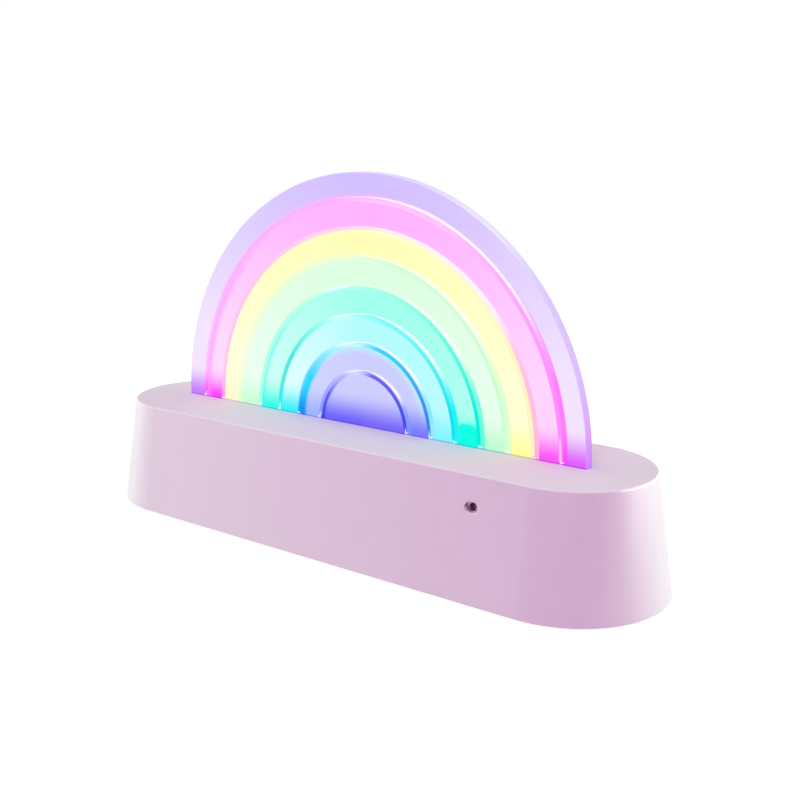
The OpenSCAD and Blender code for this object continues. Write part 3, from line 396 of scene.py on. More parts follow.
def foot_glow(tree, settings, place):
    """A mask of the strong glow over the deck, with the mint band's right foot full to an uneven edge."""
    ends = (settings.foot_glow_height / MM, 0.5)
    low = add(tree, RANGE, [place.height, *ends], interpolation_type="SMOOTHSTEP")
    noise = add(tree, "ShaderNodeTexNoise", {"Vector": place.flat, "Scale": 0.4, "Detail": 1.0})
    unevenness = 3.0
    full = add(tree, "MULTIPLY_ADD", [noise, unevenness, place.height])
    full = add(tree, RANGE, [full, *reversed(MINT_GLOW)])
    mint_in = FIRST_GROOVE + GROOVE_PITCH * 2
    mint = between(tree, place.radius, mint_in, mint_in + GROOVE_PITCH, 0.4)
    on_right = add(tree, "GREATER_THAN", [place.x, 0.0])
    return add(tree, "MAXIMUM", [low, overlap(tree, full, mint, on_right)])


def groove_values(tree, place):
    """The nearest groove's value in each column, from one ramp for each."""
    index = add(tree, "MULTIPLY_ADD", [place.step, 1 / GROOVE_COUNT, 0.5 / GROOVE_COUNT])
    span = GROOVE_HIGH - GROOVE_LOW
    here = {}
    for column in Groove._fields:
        # The soft widths of the bands' edges are only used in the bands' own ramps
        if column in ("inner", "outer"):
            continue
        values = [getattr(groove, column) for groove in GROOVES]
        numbers = not isinstance(values[0], str)
        colours = [((value - GROOVE_LOW) / span,) * 3 if numbers else linear(value) for value in values]
        ramp = add(tree, RAMP, [index])
        set_stops(ramp, [(k / GROOVE_COUNT, colour) for k, colour in enumerate(colours)], "CONSTANT")
        if numbers:
            ramp = add(tree, "MULTIPLY_ADD", [ramp, span, GROOVE_LOW])
        here[column] = ramp
    return here


def right_leg_marks(tree, settings, place, here, low):
    """The strip of strong colour outside each groove of the right leg, and the pale line above it, a painted
    highlight.
    """
    # The groove's floor, seen through the plastic, looks shifted towards the right and up
    shift = add(tree, "MULTIPLY", [place.across, settings.seen_shift_x / MM])
    shift = add(tree, "MULTIPLY_ADD", [place.upright, settings.seen_shift_z / MM, shift])
    mouth = GROOVE_WIDTH / 2
    edge = add(tree, "ADD", [shift, mouth])
    leg = add(tree, RANGE, [place.turn, *RIGHT_STRIP_TURNS])
    strip = overlap(tree, between(tree, place.off, mouth, edge, 0.2), leg)
    colour = add(tree, MIX, {0: low, 6: here["right"], 7: here["right_low"]}, data_type="RGBA")
    # The pale line, a painted highlight, moves into the groove as it passes the crown
    in_groove = -0.1
    near = add(tree, RANGE, [place.across, -0.2, 0.12, in_groove, here["near"]])
    least_width = 0.25
    far = add(tree, "MAXIMUM", [edge, mouth + least_width])
    far = add(tree, "MINIMUM", [far, here["far"]])
    shown = between(tree, place.turn, *PALE_LINE_TURNS, 0.05)
    strength = add(tree, RANGE, [place.turn, *PAST_CROWN_TURNS, here["pale"], here["past"]])
    pale = overlap(tree, between(tree, place.off, near, far, 0.15), shown, strength)
    return [(strip, colour), (pale, settings.pale_line)]


def left_leg_marks(tree, place, here, low):
    """A soft strip of strong colour that follows each groove of the left leg and widens downward."""
    wide = add(tree, RANGE, [place.turn, *LEFT_WIDTH_TURNS])
    top_width, top_halo = 0.8, 0.3
    start = add(tree, "SUBTRACT", [here["end"], top_width])
    start = add(tree, MIX, {0: wide, 2: start, 3: here["start"]})
    halo = add(tree, MIX, {0: wide, 2: top_halo, 3: here["halo"]})
    started = rising(tree, place.off, start, halo)
    not_ended = rising(tree, here["end"], place.off, here["fade"])
    leg = add(tree, RANGE, [place.turn, *LEFT_STRIP_TURNS])
    colour = add(tree, MIX, {0: low, 6: here["left"], 7: here["left_low"]}, data_type="RGBA")
    return [(overlap(tree, started, not_ended, leg, here["strip"]), colour)]


def groove_line(tree, place, here):
    """The line itself: walls and floor of the groove, behind the front face."""
    deep = add(tree, RANGE, [place.depth, *LINE_DEPTHS])
    edge_skin = 0.6
    not_edge = add(tree, "LESS_THAN", [place.radius, ARCH_RADIUS - edge_skin])
    shown = add(tree, "SUBTRACT", [here["climb"], place.turn])
    shown = add(tree, RANGE, [shown, -0.03, 0.06])
    rise = add(tree, RANGE, [place.turn, *LINE_COLOUR_TURNS])
    line = add(tree, MIX, {0: rise, 6: here["low"], 7: here["high"]}, data_type="RGBA")
    return [(overlap(tree, deep, place.before, not_edge, shown), line)]


def foot_marks(tree, settings, place, here):
    """Painted highlights: the small bright bar that each groove stands on, and the thin bright upright over
    some of them.
    """
    # Behind the front they are drawn shifted outward, so that they follow the groove's wall
    wall_slope = 0.75
    seen = add(tree, "MAXIMUM", [place.depth, 0.0])
    seen = add(tree, "MULTIPLY", [seen, place.across])
    seen = add(tree, "MULTIPLY_ADD", [seen, wall_slope, place.off])
    start, bar_end, post_end, soft = -0.1, 1.1, 0.35, 0.2
    bar_heights = (0.3, 0.7)
    bar = overlap(
        tree, between(tree, seen, start, bar_end, soft), between(tree, place.height, *bar_heights, soft),
    )
    on_left = add(tree, "LESS_THAN", [place.x, 0.0])
    top = add(tree, MIX, {0: on_left, 2: here["right_post"], 3: here["left_post"]})
    over_top = add(tree, "SUBTRACT", [place.height, top])
    post_fade = 1.2
    post = overlap(
        tree, add(tree, RANGE, [over_top, 0.0, -post_fade]), between(tree, seen, start, post_end, soft),
    )
    foot_highlight_mask = add(tree, "MAXIMUM", [bar, post])
    return [(overlap(tree, foot_highlight_mask, settings.foot_highlight, place.before), settings.pale_line)]


def lit_cast_acrylic(settings):
    """Cast acrylic, polished and lit from below: pastel bands of light with bright lines at the grooves,
    which are painted highlights, and a line of painted shade where it enters its slot.
    """
    tree, shader = dress(["rainbow_panel"], "lit_cast_acrylic")
    place = place_on_panel(tree)
    here = groove_values(tree, place)
    low = foot_glow(tree, settings, place)
    face, foot = band_colours(tree, settings, place)
    for mask, colour in (
        (low, foot), *right_leg_marks(tree, settings, place, here, low),
        *left_leg_marks(tree, place, here, low), *groove_line(tree, place, here),
        *foot_marks(tree, settings, place, here),
    ):
        face = add(tree, MIX, {0: mask, 6: face, 7: colour}, data_type="RGBA")
    # Painted shade: a darker line where the panel enters its slot
    slot_shade = add(tree, RANGE, [place.height, 0.1, 0.5, 0.6, 0.0])
    face = add(tree, MIX, {0: slot_shade, 6: face, 7: "#9a92e0"}, data_type="RGBA", blend_type="MULTIPLY")
    # The edge of the arch is more violet, with a painted highlight that makes it pale near the crown, and
    # duller than the face
    edge = add(tree, "GREATER_THAN", [place.radius, ARCH_RADIUS - 0.3])
    edge_colour = add(tree, RAMP, [place.turn])
    set_stops(edge_colour, [(position, linear(colour)) for position, colour in ARCH_EDGE])
    face = add(tree, MIX, {0: edge, 6: face, 7: edge_colour}, data_type="RGBA")
    level = add(tree, RANGE, [edge, 0.0, 1.0, 0.12, 0.0])
    body = (settings.body_share,) * 3
    dimmed = add(tree, MIX, {0: 1.0, 6: face, 7: body}, data_type="RGBA", blend_type="MULTIPLY")
    connect(shader, {
        "Base Color": dimmed, "Roughness": 0.22, "IOR": 1.49, "Specular IOR Level": level,
        "Emission Color": face, "Emission Strength": settings.glow_share,
    })


def within(axis, centre, distance):
    """A mask of what lies within a distance of a plane across this axis, all in millimetres."""
    def mask(tree):
        return add(tree, "COMPARE", [millimetres(tree)[axis], centre, distance])
    return mask


def above(axis, level, far_level=None, start=0.0, end=1.0):
    """A mask of what lies over a level along this axis, in millimetres.

    With a far level, the level changes to it from one X to another.
    """
    def mask(tree):
        parts = millimetres(tree)
        limit = level
        if far_level is not None:
            limit = add(tree, RANGE, [parts[0], start, end, level, far_level])
        return add(tree, "GREATER_THAN", [parts[axis], limit])
    return mask


def near_post(place, radius):
    """A mask of what lies within a radius of an upright line through this place, in millimetres."""
    def mask(tree):
        x, y, _ = millimetres(tree)
        flat = add(tree, COMBINE, [x, y, 0.0])
        away = add(tree, VECTOR_MATH, [flat, (place[0], place[1], 0.0)], operation="DISTANCE")
        return add(tree, "LESS_THAN", [away, radius])
    return mask


def from_repeats(tree, axis, first, pitch):
    """The distance along this axis from the nearest of a row of places, in millimetres."""
    value = add(tree, "SUBTRACT", [millimetres(tree)[axis], first])
    return add(tree, "PINGPONG", [value, pitch / 2])


def stripes(axis, first, pitch, half_width):
    """A mask of a row of stripes along this axis, one of them at this place, in millimetres."""
    def mask(tree):
        away = from_repeats(tree, axis, first, pitch)
        return add(tree, "LESS_THAN", [away, half_width])
    return mask


def all_of(*masks):
    """A mask of what lies in all that these functions make."""
    def mask(tree):
        return overlap(tree, *[part(tree) for part in masks])
    return mask


def outside(mask_of):
    """A mask of what lies outside another."""
    def mask(tree):
        return add(tree, "SUBTRACT", [1.0, mask_of(tree)])
    return mask


def middle_of(name):
    """The middle of a CAD node's box, in millimetres."""
    low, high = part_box(name)
    return [(a + b) / 2 / MM for a, b in zip(low, high)]


def copper_tracks(tree):
    """A mask of tracks under the solder mask: mortar lines of a brick pattern, 0.3 mm wide."""
    place = add(tree, "ShaderNodeTexCoord").node.outputs["Object"]
    brick = add(tree, "ShaderNodeTexBrick", {
        "Vector": place, "Scale": 1 / MM, "Mortar Size": 0.15, "Mortar Smooth": 0.0, "Brick Width": 5.0,
        "Row Height": 1.9,
    })
    return brick.node.outputs["Fac"]


def cut_edges(tree):
    """A mask of the upright faces of a board."""
    level = add(tree, "ABSOLUTE", [upward(tree)])
    return add(tree, "LESS_THAN", [level, 0.5])


def capacitor_ends(tree):
    """A mask of the ends of the lights' capacitors: one under each band's middle, and the innermost."""
    body_half = 0.5
    outer = from_repeats(tree, 0, FIRST_GROOVE + GROOVE_PITCH / 2, GROOVE_PITCH)
    inner = add(tree, "ABSOLUTE", [millimetres(tree)[0]])
    inner = add(tree, "SUBTRACT", [inner, FIRST_LIGHT])
    inner = add(tree, "ABSOLUTE", [inner])
    nearest = add(tree, "MINIMUM", [outer, inner])
    return add(tree, "GREATER_THAN", [nearest, body_half])


def circuit_board(pieces, name, colour, track_colour):
    """Glass fibre under glossy solder mask, with tracks that show paler and straw-coloured cut edges."""
    surface(
        pieces, name, colour, colour, 0.3, grain=0.45, depth=0.01,
        marks=((copper_tracks, track_colour, 0.28, 0.0), (cut_edges, "#b9a878", 0.7, 0.0)),
    )


def colour_property(name, description, hex_colour):
    """A colour that the user can change, given in sRGB hex."""
    return FloatVectorProperty(
        name=name, description=description, default=linear(hex_colour), subtype="COLOR", min=0.0, max=1.0,
    )


def share_property(name, description, default, highest=1.0):
    """A share or strength that the user can change."""
    return FloatProperty(
        name=name, description=description, default=default, subtype="FACTOR", min=0.0, max=highest,
    )


class LampShellSettings(bpy.types.PropertyGroup):
    """Finish of the moulded shell."""

    colour: colour_property("Shell", "Colour of the shell's plastic", "#cfa0ca")
    button_colour: colour_property("Button", "Colour of the button's plastic", "#d6b4d2")
    side_roughness: share_property("Side roughness", "Roughness of the shell's sides", 0.36)
    deck_roughness: share_property("Deck roughness", "Roughness of the shell's top", 0.6)
    # Painted sheen: how far the colour fades to white where the shell turns away, its upper limit, and the
    # fixed share that paints the deck paler
    painted_sheen: share_property("Haze", "How much the grain whitens where the shell turns away", 1.4, highest=2.0)
    most_painted_sheen: share_property("Most haze", "Upper limit of that whitening", 0.84)
    deck_painted_sheen: share_property("Deck haze", "How much paler the grain makes the top", 0.65)


class LampPanelSettings(bpy.types.PropertyGroup):
    """Colours and glow of the light panel."""

    # Colour of the painted highlights beside the grooves and at their feet
    pale_line: colour_property("Pale line", "Colour of the line beside a groove", "#fff8ff")
    foot_glow_height: FloatProperty(
        name="Foot glow", description="Height over the base in which the colours are strongest",
        default=11 * MM, subtype="DISTANCE", unit="LENGTH",
    )
    # Strength of the painted highlights at the feet of the grooves
    foot_highlight: share_property("Foot spots", "Strength of the bright end of each groove", 0.85)
    seen_shift_x: FloatProperty(
        name="Shift along", description="How far a groove's floor looks shifted to the right",
        default=1.6 * MM, subtype="DISTANCE", unit="LENGTH",
    )
    seen_shift_z: FloatProperty(
        name="Shift up", description="How far a groove's floor looks shifted upward",
        default=0.4 * MM, subtype="DISTANCE", unit="LENGTH",
    )
    glow_share: share_property("Glow", "Share of the panel's light that it gives itself", 0.56)
    body_share: share_property("Body", "Share of the panel's colour that room light shows", 0.5)


for band in BANDS:
    for part in BAND_PARTS:
        title = f"{band.name} {part}".replace("_", " ").capitalize()
        LampPanelSettings.__annotations__[f"{band.name}_{part}"] = colour_property(
            title, "Colour of this part of the band", getattr(band, part),
        )


class LampInsideSettings(bpy.types.PropertyGroup):
    """Colours of the pieces inside the lamp."""

    live_wire: colour_property("Live wire", "Colour of the wires from the positive side", "#c8342c")
    signal_wire: colour_property("Signal wire", "Colour of the wire with the lights' signal", "#3f8f4a")
    ground_wire: colour_property("Ground wire", "Colour of the wires from the negative side", "#2b2b2e")
    lens_glow: share_property("Lens glow", "How brightly the lights' lenses glow", 2.0, highest=10.0)


class LampStageSettings(bpy.types.PropertyGroup):
    """Camera, lamps and floor."""

    camera_place: FloatVectorProperty(
        name="Camera place", description="Where the camera stands", default=(0.19705, -0.24717, 0.11827),
        subtype="TRANSLATION", unit="LENGTH", size=3,
    )
    azimuth: FloatProperty(
        name="Azimuth", description="Camera's bearing", default=math.radians(36.59), subtype="ANGLE",
    )
    elevation: FloatProperty(
        name="Elevation", description="How far the camera looks down", default=math.radians(13.38),
        subtype="ANGLE",
    )
    focal_length: FloatProperty(
        name="Lens", description="Focal length on a sensor 36 mm wide", default=47.304,
        subtype="DISTANCE_CAMERA",
    )
    room_light: share_property("Room light", "Brightness of the room", 0.42, highest=2.0)


class LAMP_OT_build_stage(bpy.types.Operator):
    """Floor, world, lamps and camera"""

    bl_idname = "lamp.build_stage"
    bl_label = "Build the stage"

    def seen_white(self, tree):
        """1 for rays from the camera and for those that gloss or glass sends on."""
        path = add(tree, "ShaderNodeLightPath").node.outputs
        seen = add(tree, "MAXIMUM", [path["Is Camera Ray"], path["Is Glossy Ray"]])
        return add(tree, "MAXIMUM", [seen, path["Is Transmission Ray"]])

    def build_camera(self, scene, settings):
        """The camera at the photograph's place and angle."""
        data = bpy.data.cameras.new("lamp_camera")
        data.sensor_width = 36.0
        data.lens = settings.focal_length
        camera = bpy.data.objects.new("lamp_camera", data)
        scene.collection.objects.link(camera)
        camera.location = settings.camera_place
        camera.rotation_euler = (math.pi / 2 - settings.elevation, 0.0, settings.azimuth)
        scene.camera = camera

    def build_world(self, scene, settings):
        """A room that lights the lamp evenly and looks white."""
        world = bpy.data.worlds.new("lamp_world")
        tree = empty_tree(world)
        room = add(tree, "ShaderNodeBackground", ["#ffffff", settings.room_light])
        white = add(tree, "ShaderNodeBackground", ["#ffffff", 1.0])
        mixed = add(tree, "ShaderNodeMixShader", [self.seen_white(tree), room, white])
        add(tree, "ShaderNodeOutputWorld", [mixed])
        scene.world = world

    def build_lamps(self, scene):
        """Softboxes round the lamp, and a card that lights nothing matt: its reflection whitens the shell."""
        aim_height = 0.03
        # Name, bearing from the front towards the right, height angle, distance, width, height and power
        for name, bearing, tilt, distance, width, height, power in (
            ("left_softbox", -82, 15, 0.8, 1.0, 1.0, 3.1),
            ("right_softbox", 120, 15, 0.8, 1.0, 1.0, 3.1),
            ("front_softbox", 20, 20, 0.9, 0.6, 0.6, 3.1),
            ("back_softbox", 180, 20, 0.9, 0.6, 0.6, 1.6),
            ("top_softbox", 0, 80, 0.32, 0.16, 0.12, 0.13),
            ("right_card", 130, 12, 0.9, 1.0, 0.8, 26.0),
        ):
            lamp = bpy.data.lights.new(name, "AREA")
            lamp.shape = "RECTANGLE"
            lamp.size = width
            lamp.size_y = height
            lamp.energy = power
            body = bpy.data.objects.new(name, lamp)
            scene.collection.objects.link(body)
            body.visible_diffuse = not name.endswith("card")
            turn, lift = math.radians(bearing), math.radians(tilt)
            level = distance * math.cos(lift)
            rise = aim_height + distance * math.sin(lift)
            body.location = (level * math.sin(turn), -level * math.cos(turn), rise)
            body.rotation_euler = (math.pi / 2 - lift, 0.0, turn)

    def build_floor(self, scene):
        """White paper: it lights the lamp from below, and shows white with a soft shadow."""
        half = 6.0
        corners = [(-half, -half, 0), (half, -half, 0), (half, half, 0), (-half, half, 0)]
        mesh = bpy.data.meshes.new("studio_floor")
        mesh.from_pydata(corners, [], [(0, 1, 2, 3)])
        floor = bpy.data.objects.new("studio_floor", mesh)
        scene.collection.objects.link(floor)
        material = bpy.data.materials.new("white_paper_sweep")
        tree = empty_tree(material)
        paper = add(tree, "ShaderNodeBsdfDiffuse", ["#e1e1e1"])
        pale_paper = add(tree, "ShaderNodeBsdfDiffuse", ["#a0a0a0"])
        shine = add(tree, "ShaderNodeEmission", ["#ffffff", 0.86])
        shown = add(tree, "ShaderNodeAddShader", [pale_paper, shine])
        both = add(tree, "ShaderNodeMixShader", [self.seen_white(tree), paper, shown])
        add(tree, "ShaderNodeOutputMaterial", [both])
        mesh.materials.append(material)

    def execute(self, context):
        scene = context.scene
        settings = scene.lamp_stage
        self.build_camera(scene, settings)
        self.build_world(scene, settings)
        self.build_lamps(scene)
        self.build_floor(scene)
        scene.view_settings.view_transform = "Standard"
        return {"FINISHED"}


class LAMP_OT_finish_shell(bpy.types.Operator):
    """Moulded finish of the shell and its cover"""

    bl_idname = "lamp.finish_shell"
    bl_label = "Finish the shell"

    def execute(self, context):
        moulded_abs_shell(context.scene.lamp_shell)
        return {"FINISHED"}


class LAMP_OT_finish_panel(bpy.types.Operator):
    """Glowing acrylic of the light panel"""

    bl_idname = "lamp.finish_panel"
    bl_label = "Finish the light panel"

    def execute(self, context):
        lit_cast_acrylic(context.scene.lamp_panel)
        return {"FINISHED"}


class LAMP_OT_finish_holder(bpy.types.Operator):
    """Moulded finish of the panel's holder"""

    bl_idname = "lamp.finish_holder"
    bl_label = "Finish the holder"

    def execute(self, context):
        # Opaque white ABS, matt so that it spreads the lights' colours
        surface(
            ["panel_holder"], "moulded_white_abs", "#f3f1ec", "#edeae4", 0.55, grain=0.4, depth=0.004,
            ior=1.54,
        )
        return {"FINISHED"}


class LAMP_OT_finish_screws(bpy.types.Operator):
    """Zinc plating of all the screws"""

    bl_idname = "lamp.finish_screws"
    bl_label = "Finish the screws"

    def execute(self, context):
        # Blue-passivated zinc: a satin metal with faint cool and straw patches
        surface(
            ["cover_screws", "holder_screws", "led_board_screws", "board_screws"], "zinc_plated_steel",
            "#c2c8ce", "#c9c4b2", 0.32, grain=0.12, depth=0.003, metallic=1.0,
        )
        return {"FINISHED"}


class LAMP_OT_finish_feet(bpy.types.Operator):
    """Silicone of the feet"""

    bl_idname = "lamp.finish_feet"
    bl_label = "Finish the feet"

    def execute(self, context):
        # Moulded silicone: pale and matt, with dust in its grain
        surface(
            ["rubber_feet"], "moulded_silicone", "#dfd8e0", "#d2cad3", 0.62, grain=0.25, depth=0.01,
            ior=1.41,
        )
        return {"FINISHED"}


class LAMP_OT_finish_lights(bpy.types.Operator):
    """Light board, with its cases, lenses and capacitors"""

    bl_idname = "lamp.finish_lights"
    bl_label = "Finish the lights"

    def execute(self, context):
        circuit_board(["led_board"], "white_solder_mask", "#e9ece8", "#f6f8f5")
        # Reflector moulding: glossy opaque white
        surface(
            ["led_cases"], "moulded_reflector_white", "#f7f5ef", "#f1eee6", 0.25, grain=0.2, depth=0.002,
        )
        # Clear resin: glows in the colour of its own band
        shader = surface(
            ["led_lenses"], "cast_clear_resin", "#f4efe0", "#efe8d4", 0.08, grain=0.3, depth=0.003,
            ior=1.53,
        )
        tree = shader.id_data
        along = add(tree, "ABSOLUTE", [millimetres(tree)[0]])
        glow = by_band(tree, along, [linear(band.right_foot) for band in BANDS])
        strength = context.scene.lamp_inside.lens_glow
        connect(shader, {"Emission Color": glow, "Emission Strength": strength})
        # Fired ceramic: matt tan blocks with bright tinned ends
        surface(
            ["led_capacitors"], "fired_ceramic", "#b98d60", "#ad8257", 0.5, grain=0.15, depth=0.003,
            marks=((capacitor_ends, TINNED, 0.3, 1.0),),
        )
        return {"FINISHED"}


class LAMP_OT_finish_main_board(bpy.types.Operator):
    """Main board and the battery's guard board"""

    bl_idname = "lamp.finish_main_board"
    bl_label = "Finish the main board"

    def execute(self, context):
        circuit_board(["main_board", "battery_guard_board"], "green_solder_mask", "#12583a", "#2b7a52")
        return {"FINISHED"}


class LAMP_OT_finish_chips(bpy.types.Operator):
    """Controller and charger chips, and the row of resistors"""

    bl_idname = "lamp.finish_chips"
    bl_label = "Finish the chips"

    def execute(self, context):
        body_half = 1.96
        dot_in_x, dot_in_y, dot_radius = 1.0, 2.0, 0.3
        # Moulded epoxy: matt charcoal, with tinned leads and a paler dot by the first lead
        for name in ("controller_chip", "charger_chip"):
            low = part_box(name)[0]
            dot = near_post((low.x / MM + dot_in_x, low.y / MM + dot_in_y), dot_radius)
            leads = outside(within(1, middle_of(name)[1], body_half))
            surface(
                [name], f"moulded_epoxy_{name}", "#232326", "#29292c", 0.6, grain=0.08, depth=0.004,
                marks=((dot, "#4a4a4e", 0.35, 0.0), (leads, TINNED, 0.28, 1.0)),
            )
        # Glazed film on ceramic: glossy black blocks with tinned ends
        resistor_half, film_half, resistor_pitch = 1.0, 0.65, 3.0
        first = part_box("board_resistors")[0].x / MM + resistor_half
        ends = outside(stripes(0, first, resistor_pitch, film_half))
        surface(
            ["board_resistors"], "glazed_resistor_film", "#1d1d20", "#242428", 0.25, grain=0.1,
            depth=0.001, marks=((ends, TINNED, 0.3, 1.0),),
        )
        return {"FINISHED"}


class LAMP_OT_finish_coil(bpy.types.Operator):
    """Drum coil of the converter"""

    bl_idname = "lamp.finish_coil"
    bl_label = "Finish the coil"

    def execute(self, context):
        middle = middle_of("boost_coil")
        winding_radius, winding_half, wire_pitch, shine_half = 2.6, 0.88, 0.3, 0.08
        waist = all_of(near_post(middle, winding_radius), within(2, middle[2], winding_half))
        turns = all_of(waist, stripes(2, middle[2], wire_pitch, shine_half))
        # Sintered ferrite: a dull dark grey drum round a waist of enamelled copper wire, with a painted
        # highlight along each turn
        surface(
            ["boost_coil"], "sintered_ferrite", "#343538", "#3d3d40", 0.72, grain=0.12, depth=0.01,
            marks=((waist, "#7d3c17", 0.4, 1.0), (turns, "#c77840", 0.3, 1.0)),
        )
        return {"FINISHED"}


class LAMP_OT_finish_cans(bpy.types.Operator):
    """Can capacitors of the main board"""

    bl_idname = "lamp.finish_cans"
    bl_label = "Finish the can capacitors"

    def execute(self, context):
        low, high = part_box("board_capacitors")
        base_height, mark_depth, mark_out = 0.81, 0.02, 0.8
        base = outside(above(2, low.z / MM + base_height))
        mark_side = outside(above(0, middle_of("board_capacitors")[0] - mark_out))
        pole_mark = all_of(above(2, high.z / MM - mark_depth), mark_side)
        # Drawn aluminium: bright satin cans on black plastic bases, each with a dark mark on one side
        surface(
            ["board_capacitors"], "drawn_aluminium", "#c6c9cd", "#bdc1c6", 0.3, grain=0.1, depth=0.002,
            stretch=(1, 1, 0.2), metallic=1.0,
            marks=((base, "#1b1b1d", 0.5, 0.0), (pole_mark, "#26262a", 0.4, 0.0)),
        )
        return {"FINISHED"}


class LAMP_OT_finish_connectors(bpy.types.Operator):
    """Headers and plugs, and the wires between them"""

    bl_idname = "lamp.finish_connectors"
    bl_label = "Finish the connectors and wires"

    def execute(self, context):
        settings = context.scene.lamp_inside
        # Moulded nylon: milky ivory with a waxy gloss
        shader = surface(
            ["led_header", "led_plug", "battery_header", "battery_plug"], "moulded_white_nylon",
            "#f0ebdc", "#ece5d2", 0.4, grain=0.2, depth=0.003, ior=1.53,
        )
        reach = (0.4 * MM, 0.35 * MM, 0.3 * MM)
        connect(shader, {"Subsurface Weight": 0.2, "Subsurface Radius": reach, "Subsurface Scale": 1.0})
        # Extruded vinyl: smooth, with a soft gloss. The wires of one node are told apart by where they
        # run. The lights' wires part half way between contacts at the header, and between pads at the end.
        contact_pitch, pad_pitch, pad_in = 2.0, 2.5, 0.6
        x, y, _ = middle_of("led_header")
        pads_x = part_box("led_wires")[1].x / MM - pad_in
        second = above(1, y - contact_pitch / 2, y + pad_pitch / 2, x, pads_x)
        third = above(1, y + contact_pitch / 2, y + pad_pitch * 1.5, x, pads_x)
        live, signal, ground = settings.live_wire, settings.signal_wire, settings.ground_wire
        for name, marks in (
            ("led_wires", ((second, signal, 0.35, 0.0), (third, ground, 0.35, 0.0))),
            ("battery_wires", ((above(1, middle_of("battery_header")[1]), ground, 0.35, 0.0),)),
            ("mic_wires", ((above(0, middle_of("mic_capsule")[0]), ground, 0.35, 0.0),)),
        ):
            surface(
                [name], f"extruded_vinyl_{name}", live, live, 0.35, grain=0.4, depth=0.002, marks=marks,
            )
        return {"FINISHED"}


class LAMP_OT_finish_socket(bpy.types.Operator):
    """Charging socket and its tongue"""

    bl_idname = "lamp.finish_socket"
    bl_label = "Finish the charging socket"

    def execute(self, context):
        # Nickel-plated pressing: a bright metal, faintly streaked the way it was drawn
        surface(
            ["usb_socket"], "nickel_plated_pressing", "#b9bcc0", "#c3c4c4", 0.24, grain=0.15, depth=0.002,
            stretch=(1, 0.15, 1), metallic=1.0,
        )
        middle = middle_of("usb_tongue")
        low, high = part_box("usb_tongue")
        contact_pitch, contact_half, row_half, block_length, tip = 0.5, 0.14, 2.95, 2.8, 0.3
        contacts = all_of(
            stripes(0, middle[0] + contact_pitch / 2, contact_pitch, contact_half),
            within(0, middle[0], row_half), above(1, low.y / MM + block_length),
            outside(above(1, high.y / MM - tip)), outside(cut_edges),
        )
        # Moulded black nylon with gold-plated contacts 0.5 mm apart
        surface(
            ["usb_tongue"], "moulded_black_nylon_tongue", "#1c1c1f", "#222226", 0.45, grain=0.15,
            depth=0.003, marks=((contacts, "#dcb765", 0.22, 1.0),),
        )
        return {"FINISHED"}


class LAMP_OT_finish_button(bpy.types.Operator):
    """Mode button, with its switch and plunger"""

    bl_idname = "lamp.finish_button"
    bl_label = "Finish the mode button"

    def execute(self, context):
        # Satin ABS: smoother than the shell, so its dish catches a soft light
        colour = context.scene.lamp_shell.button_colour
        surface(
            ["mode_button"], "satin_abs_button", colour, colour, 0.3, grain=0.3, depth=0.001, ior=1.54,
        )
        # Moulded nylon plunger: milky and waxy
        surface(
            ["switch_plunger"], "moulded_nylon_plunger", "#ece7dc", "#e6e0d2", 0.4, grain=0.2,
            depth=0.002,
        )
        # Moulded black nylon under a thin steel front plate
        plate = 0.25
        front = above(1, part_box("mode_switch")[1].y / MM - plate)
        surface(
            ["mode_switch"], "moulded_black_nylon_switch", "#1f1f22", "#26262a", 0.5, grain=0.15,
            depth=0.004, marks=((front, "#b4b7bb", 0.3, 1.0),),
        )
        return {"FINISHED"}


class LAMP_OT_finish_microphone(bpy.types.Operator):
    """Microphone capsule, its felt and its boot"""

    bl_idname = "lamp.finish_microphone"
    bl_label = "Finish the microphone"

    def execute(self, context):
        # Drawn aluminium can
        surface(
            ["mic_capsule"], "drawn_aluminium_capsule", "#c4c7cb", "#bbbfc4", 0.32, grain=0.1,
            depth=0.002, metallic=1.0,
        )
        # Pressed felt: dark plum and lint-soft. Its fibres of 0.02 mm are drawn at 0.1 mm, to show
        shader = surface(["mic_felt"], "pressed_felt", "#6c406a", "#784c76", 0.95, grain=0.1, depth=0.05)
        connect(shader, {"Sheen Weight": 0.4, "Sheen Roughness": 0.6})
        # Moulded rubber: soft dark plum with a faint bloom
        surface(
            ["mic_boot"], "moulded_rubber", "#5a3655", "#633e5e", 0.7, grain=0.2, depth=0.006, ior=1.52,
        )
        return {"FINISHED"}


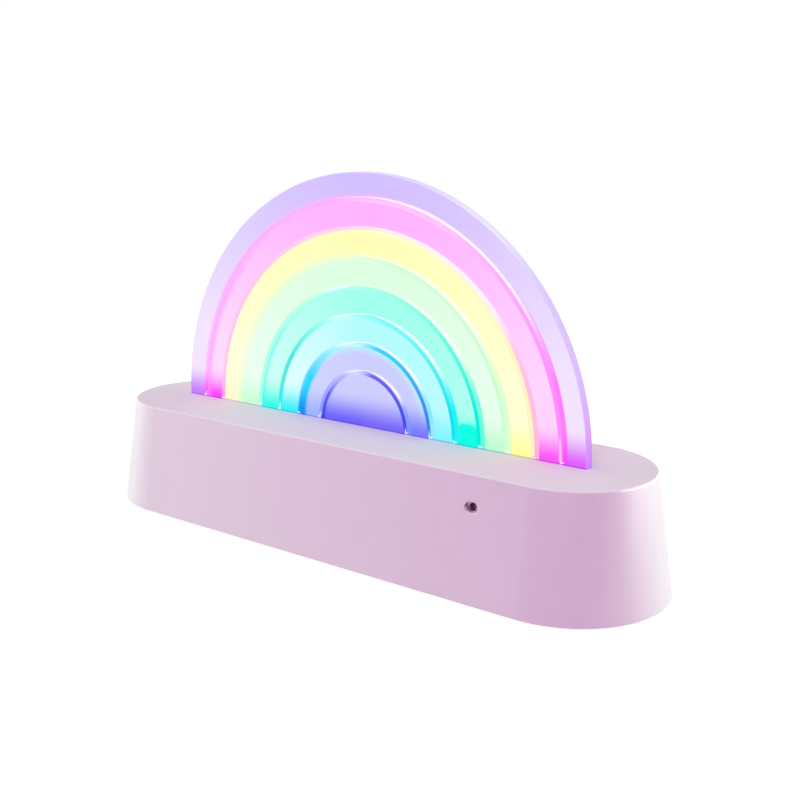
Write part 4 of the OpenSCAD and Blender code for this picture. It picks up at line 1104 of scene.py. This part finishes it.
class LAMP_OT_finish_battery(bpy.types.Operator):
    """Flat cell and the foam tape under it"""

    bl_idname = "lamp.finish_battery"
    bl_label = "Finish the battery"

    def execute(self, context):
        tape_length = 5.2
        tape = above(0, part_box("battery_cell")[1].x / MM - tape_length)
        # Laminated foil: dull silver with shallow creases, and amber tape over its sealed ledge
        surface(
            ["battery_cell"], "laminated_foil_pouch", "#b3b8be", "#a9aeb5", 0.36, grain=4.0, depth=0.12,
            metallic=1.0, marks=((tape, "#b8781e", 0.25, 0.0),),
        )
        # Foam tape: white and matt, with cells of about 0.3 mm
        surface(["battery_foam"], "closed_cell_foam", "#efece2", "#e4e0d3", 0.9, grain=0.3, depth=0.12)
        return {"FINISHED"}


OPERATORS = (
    LAMP_OT_build_stage, LAMP_OT_finish_shell, LAMP_OT_finish_panel, LAMP_OT_finish_holder,
    LAMP_OT_finish_screws, LAMP_OT_finish_feet, LAMP_OT_finish_lights, LAMP_OT_finish_main_board,
    LAMP_OT_finish_chips, LAMP_OT_finish_coil, LAMP_OT_finish_cans, LAMP_OT_finish_connectors,
    LAMP_OT_finish_socket, LAMP_OT_finish_button, LAMP_OT_finish_microphone, LAMP_OT_finish_battery,
)
GROUPS = (
    ("lamp_shell", LampShellSettings), ("lamp_panel", LampPanelSettings), ("lamp_inside", LampInsideSettings),
    ("lamp_stage", LampStageSettings),
)


class LAMP_PT_sidebar(bpy.types.Panel):
    """Lists the lamp's settings and steps"""

    bl_idname = "LAMP_PT_sidebar"
    bl_label = "Rainbow lamp"
    bl_space_type = "VIEW_3D"
    bl_region_type = "UI"
    bl_category = "Lamp"

    def draw(self, context):
        for attribute, group in GROUPS:
            box = self.layout.box()
            for name in group.__annotations__:
                box.prop(getattr(context.scene, attribute), name)
        for operator in OPERATORS:
            self.layout.operator(operator.bl_idname)


def register():
    """Registers the classes and hangs the settings on the scene."""
    for cls in (*[group for _, group in GROUPS], *OPERATORS, LAMP_PT_sidebar):
        bpy.utils.register_class(cls)
    for attribute, group in GROUPS:
        setattr(bpy.types.Scene, attribute, PointerProperty(type=group))


def unregister():
    """Takes the settings off the scene and unregisters the classes."""
    for attribute, _ in GROUPS:
        delattr(bpy.types.Scene, attribute)
    for cls in (LAMP_PT_sidebar, *reversed(OPERATORS), *[group for _, group in GROUPS]):
        bpy.utils.unregister_class(cls)


def main():
    """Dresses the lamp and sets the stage."""
    register()
    for operator in OPERATORS:
        group, name = operator.bl_idname.split(".")
        getattr(getattr(bpy.ops, group), name)()


if __name__ == "__main__":
    main()
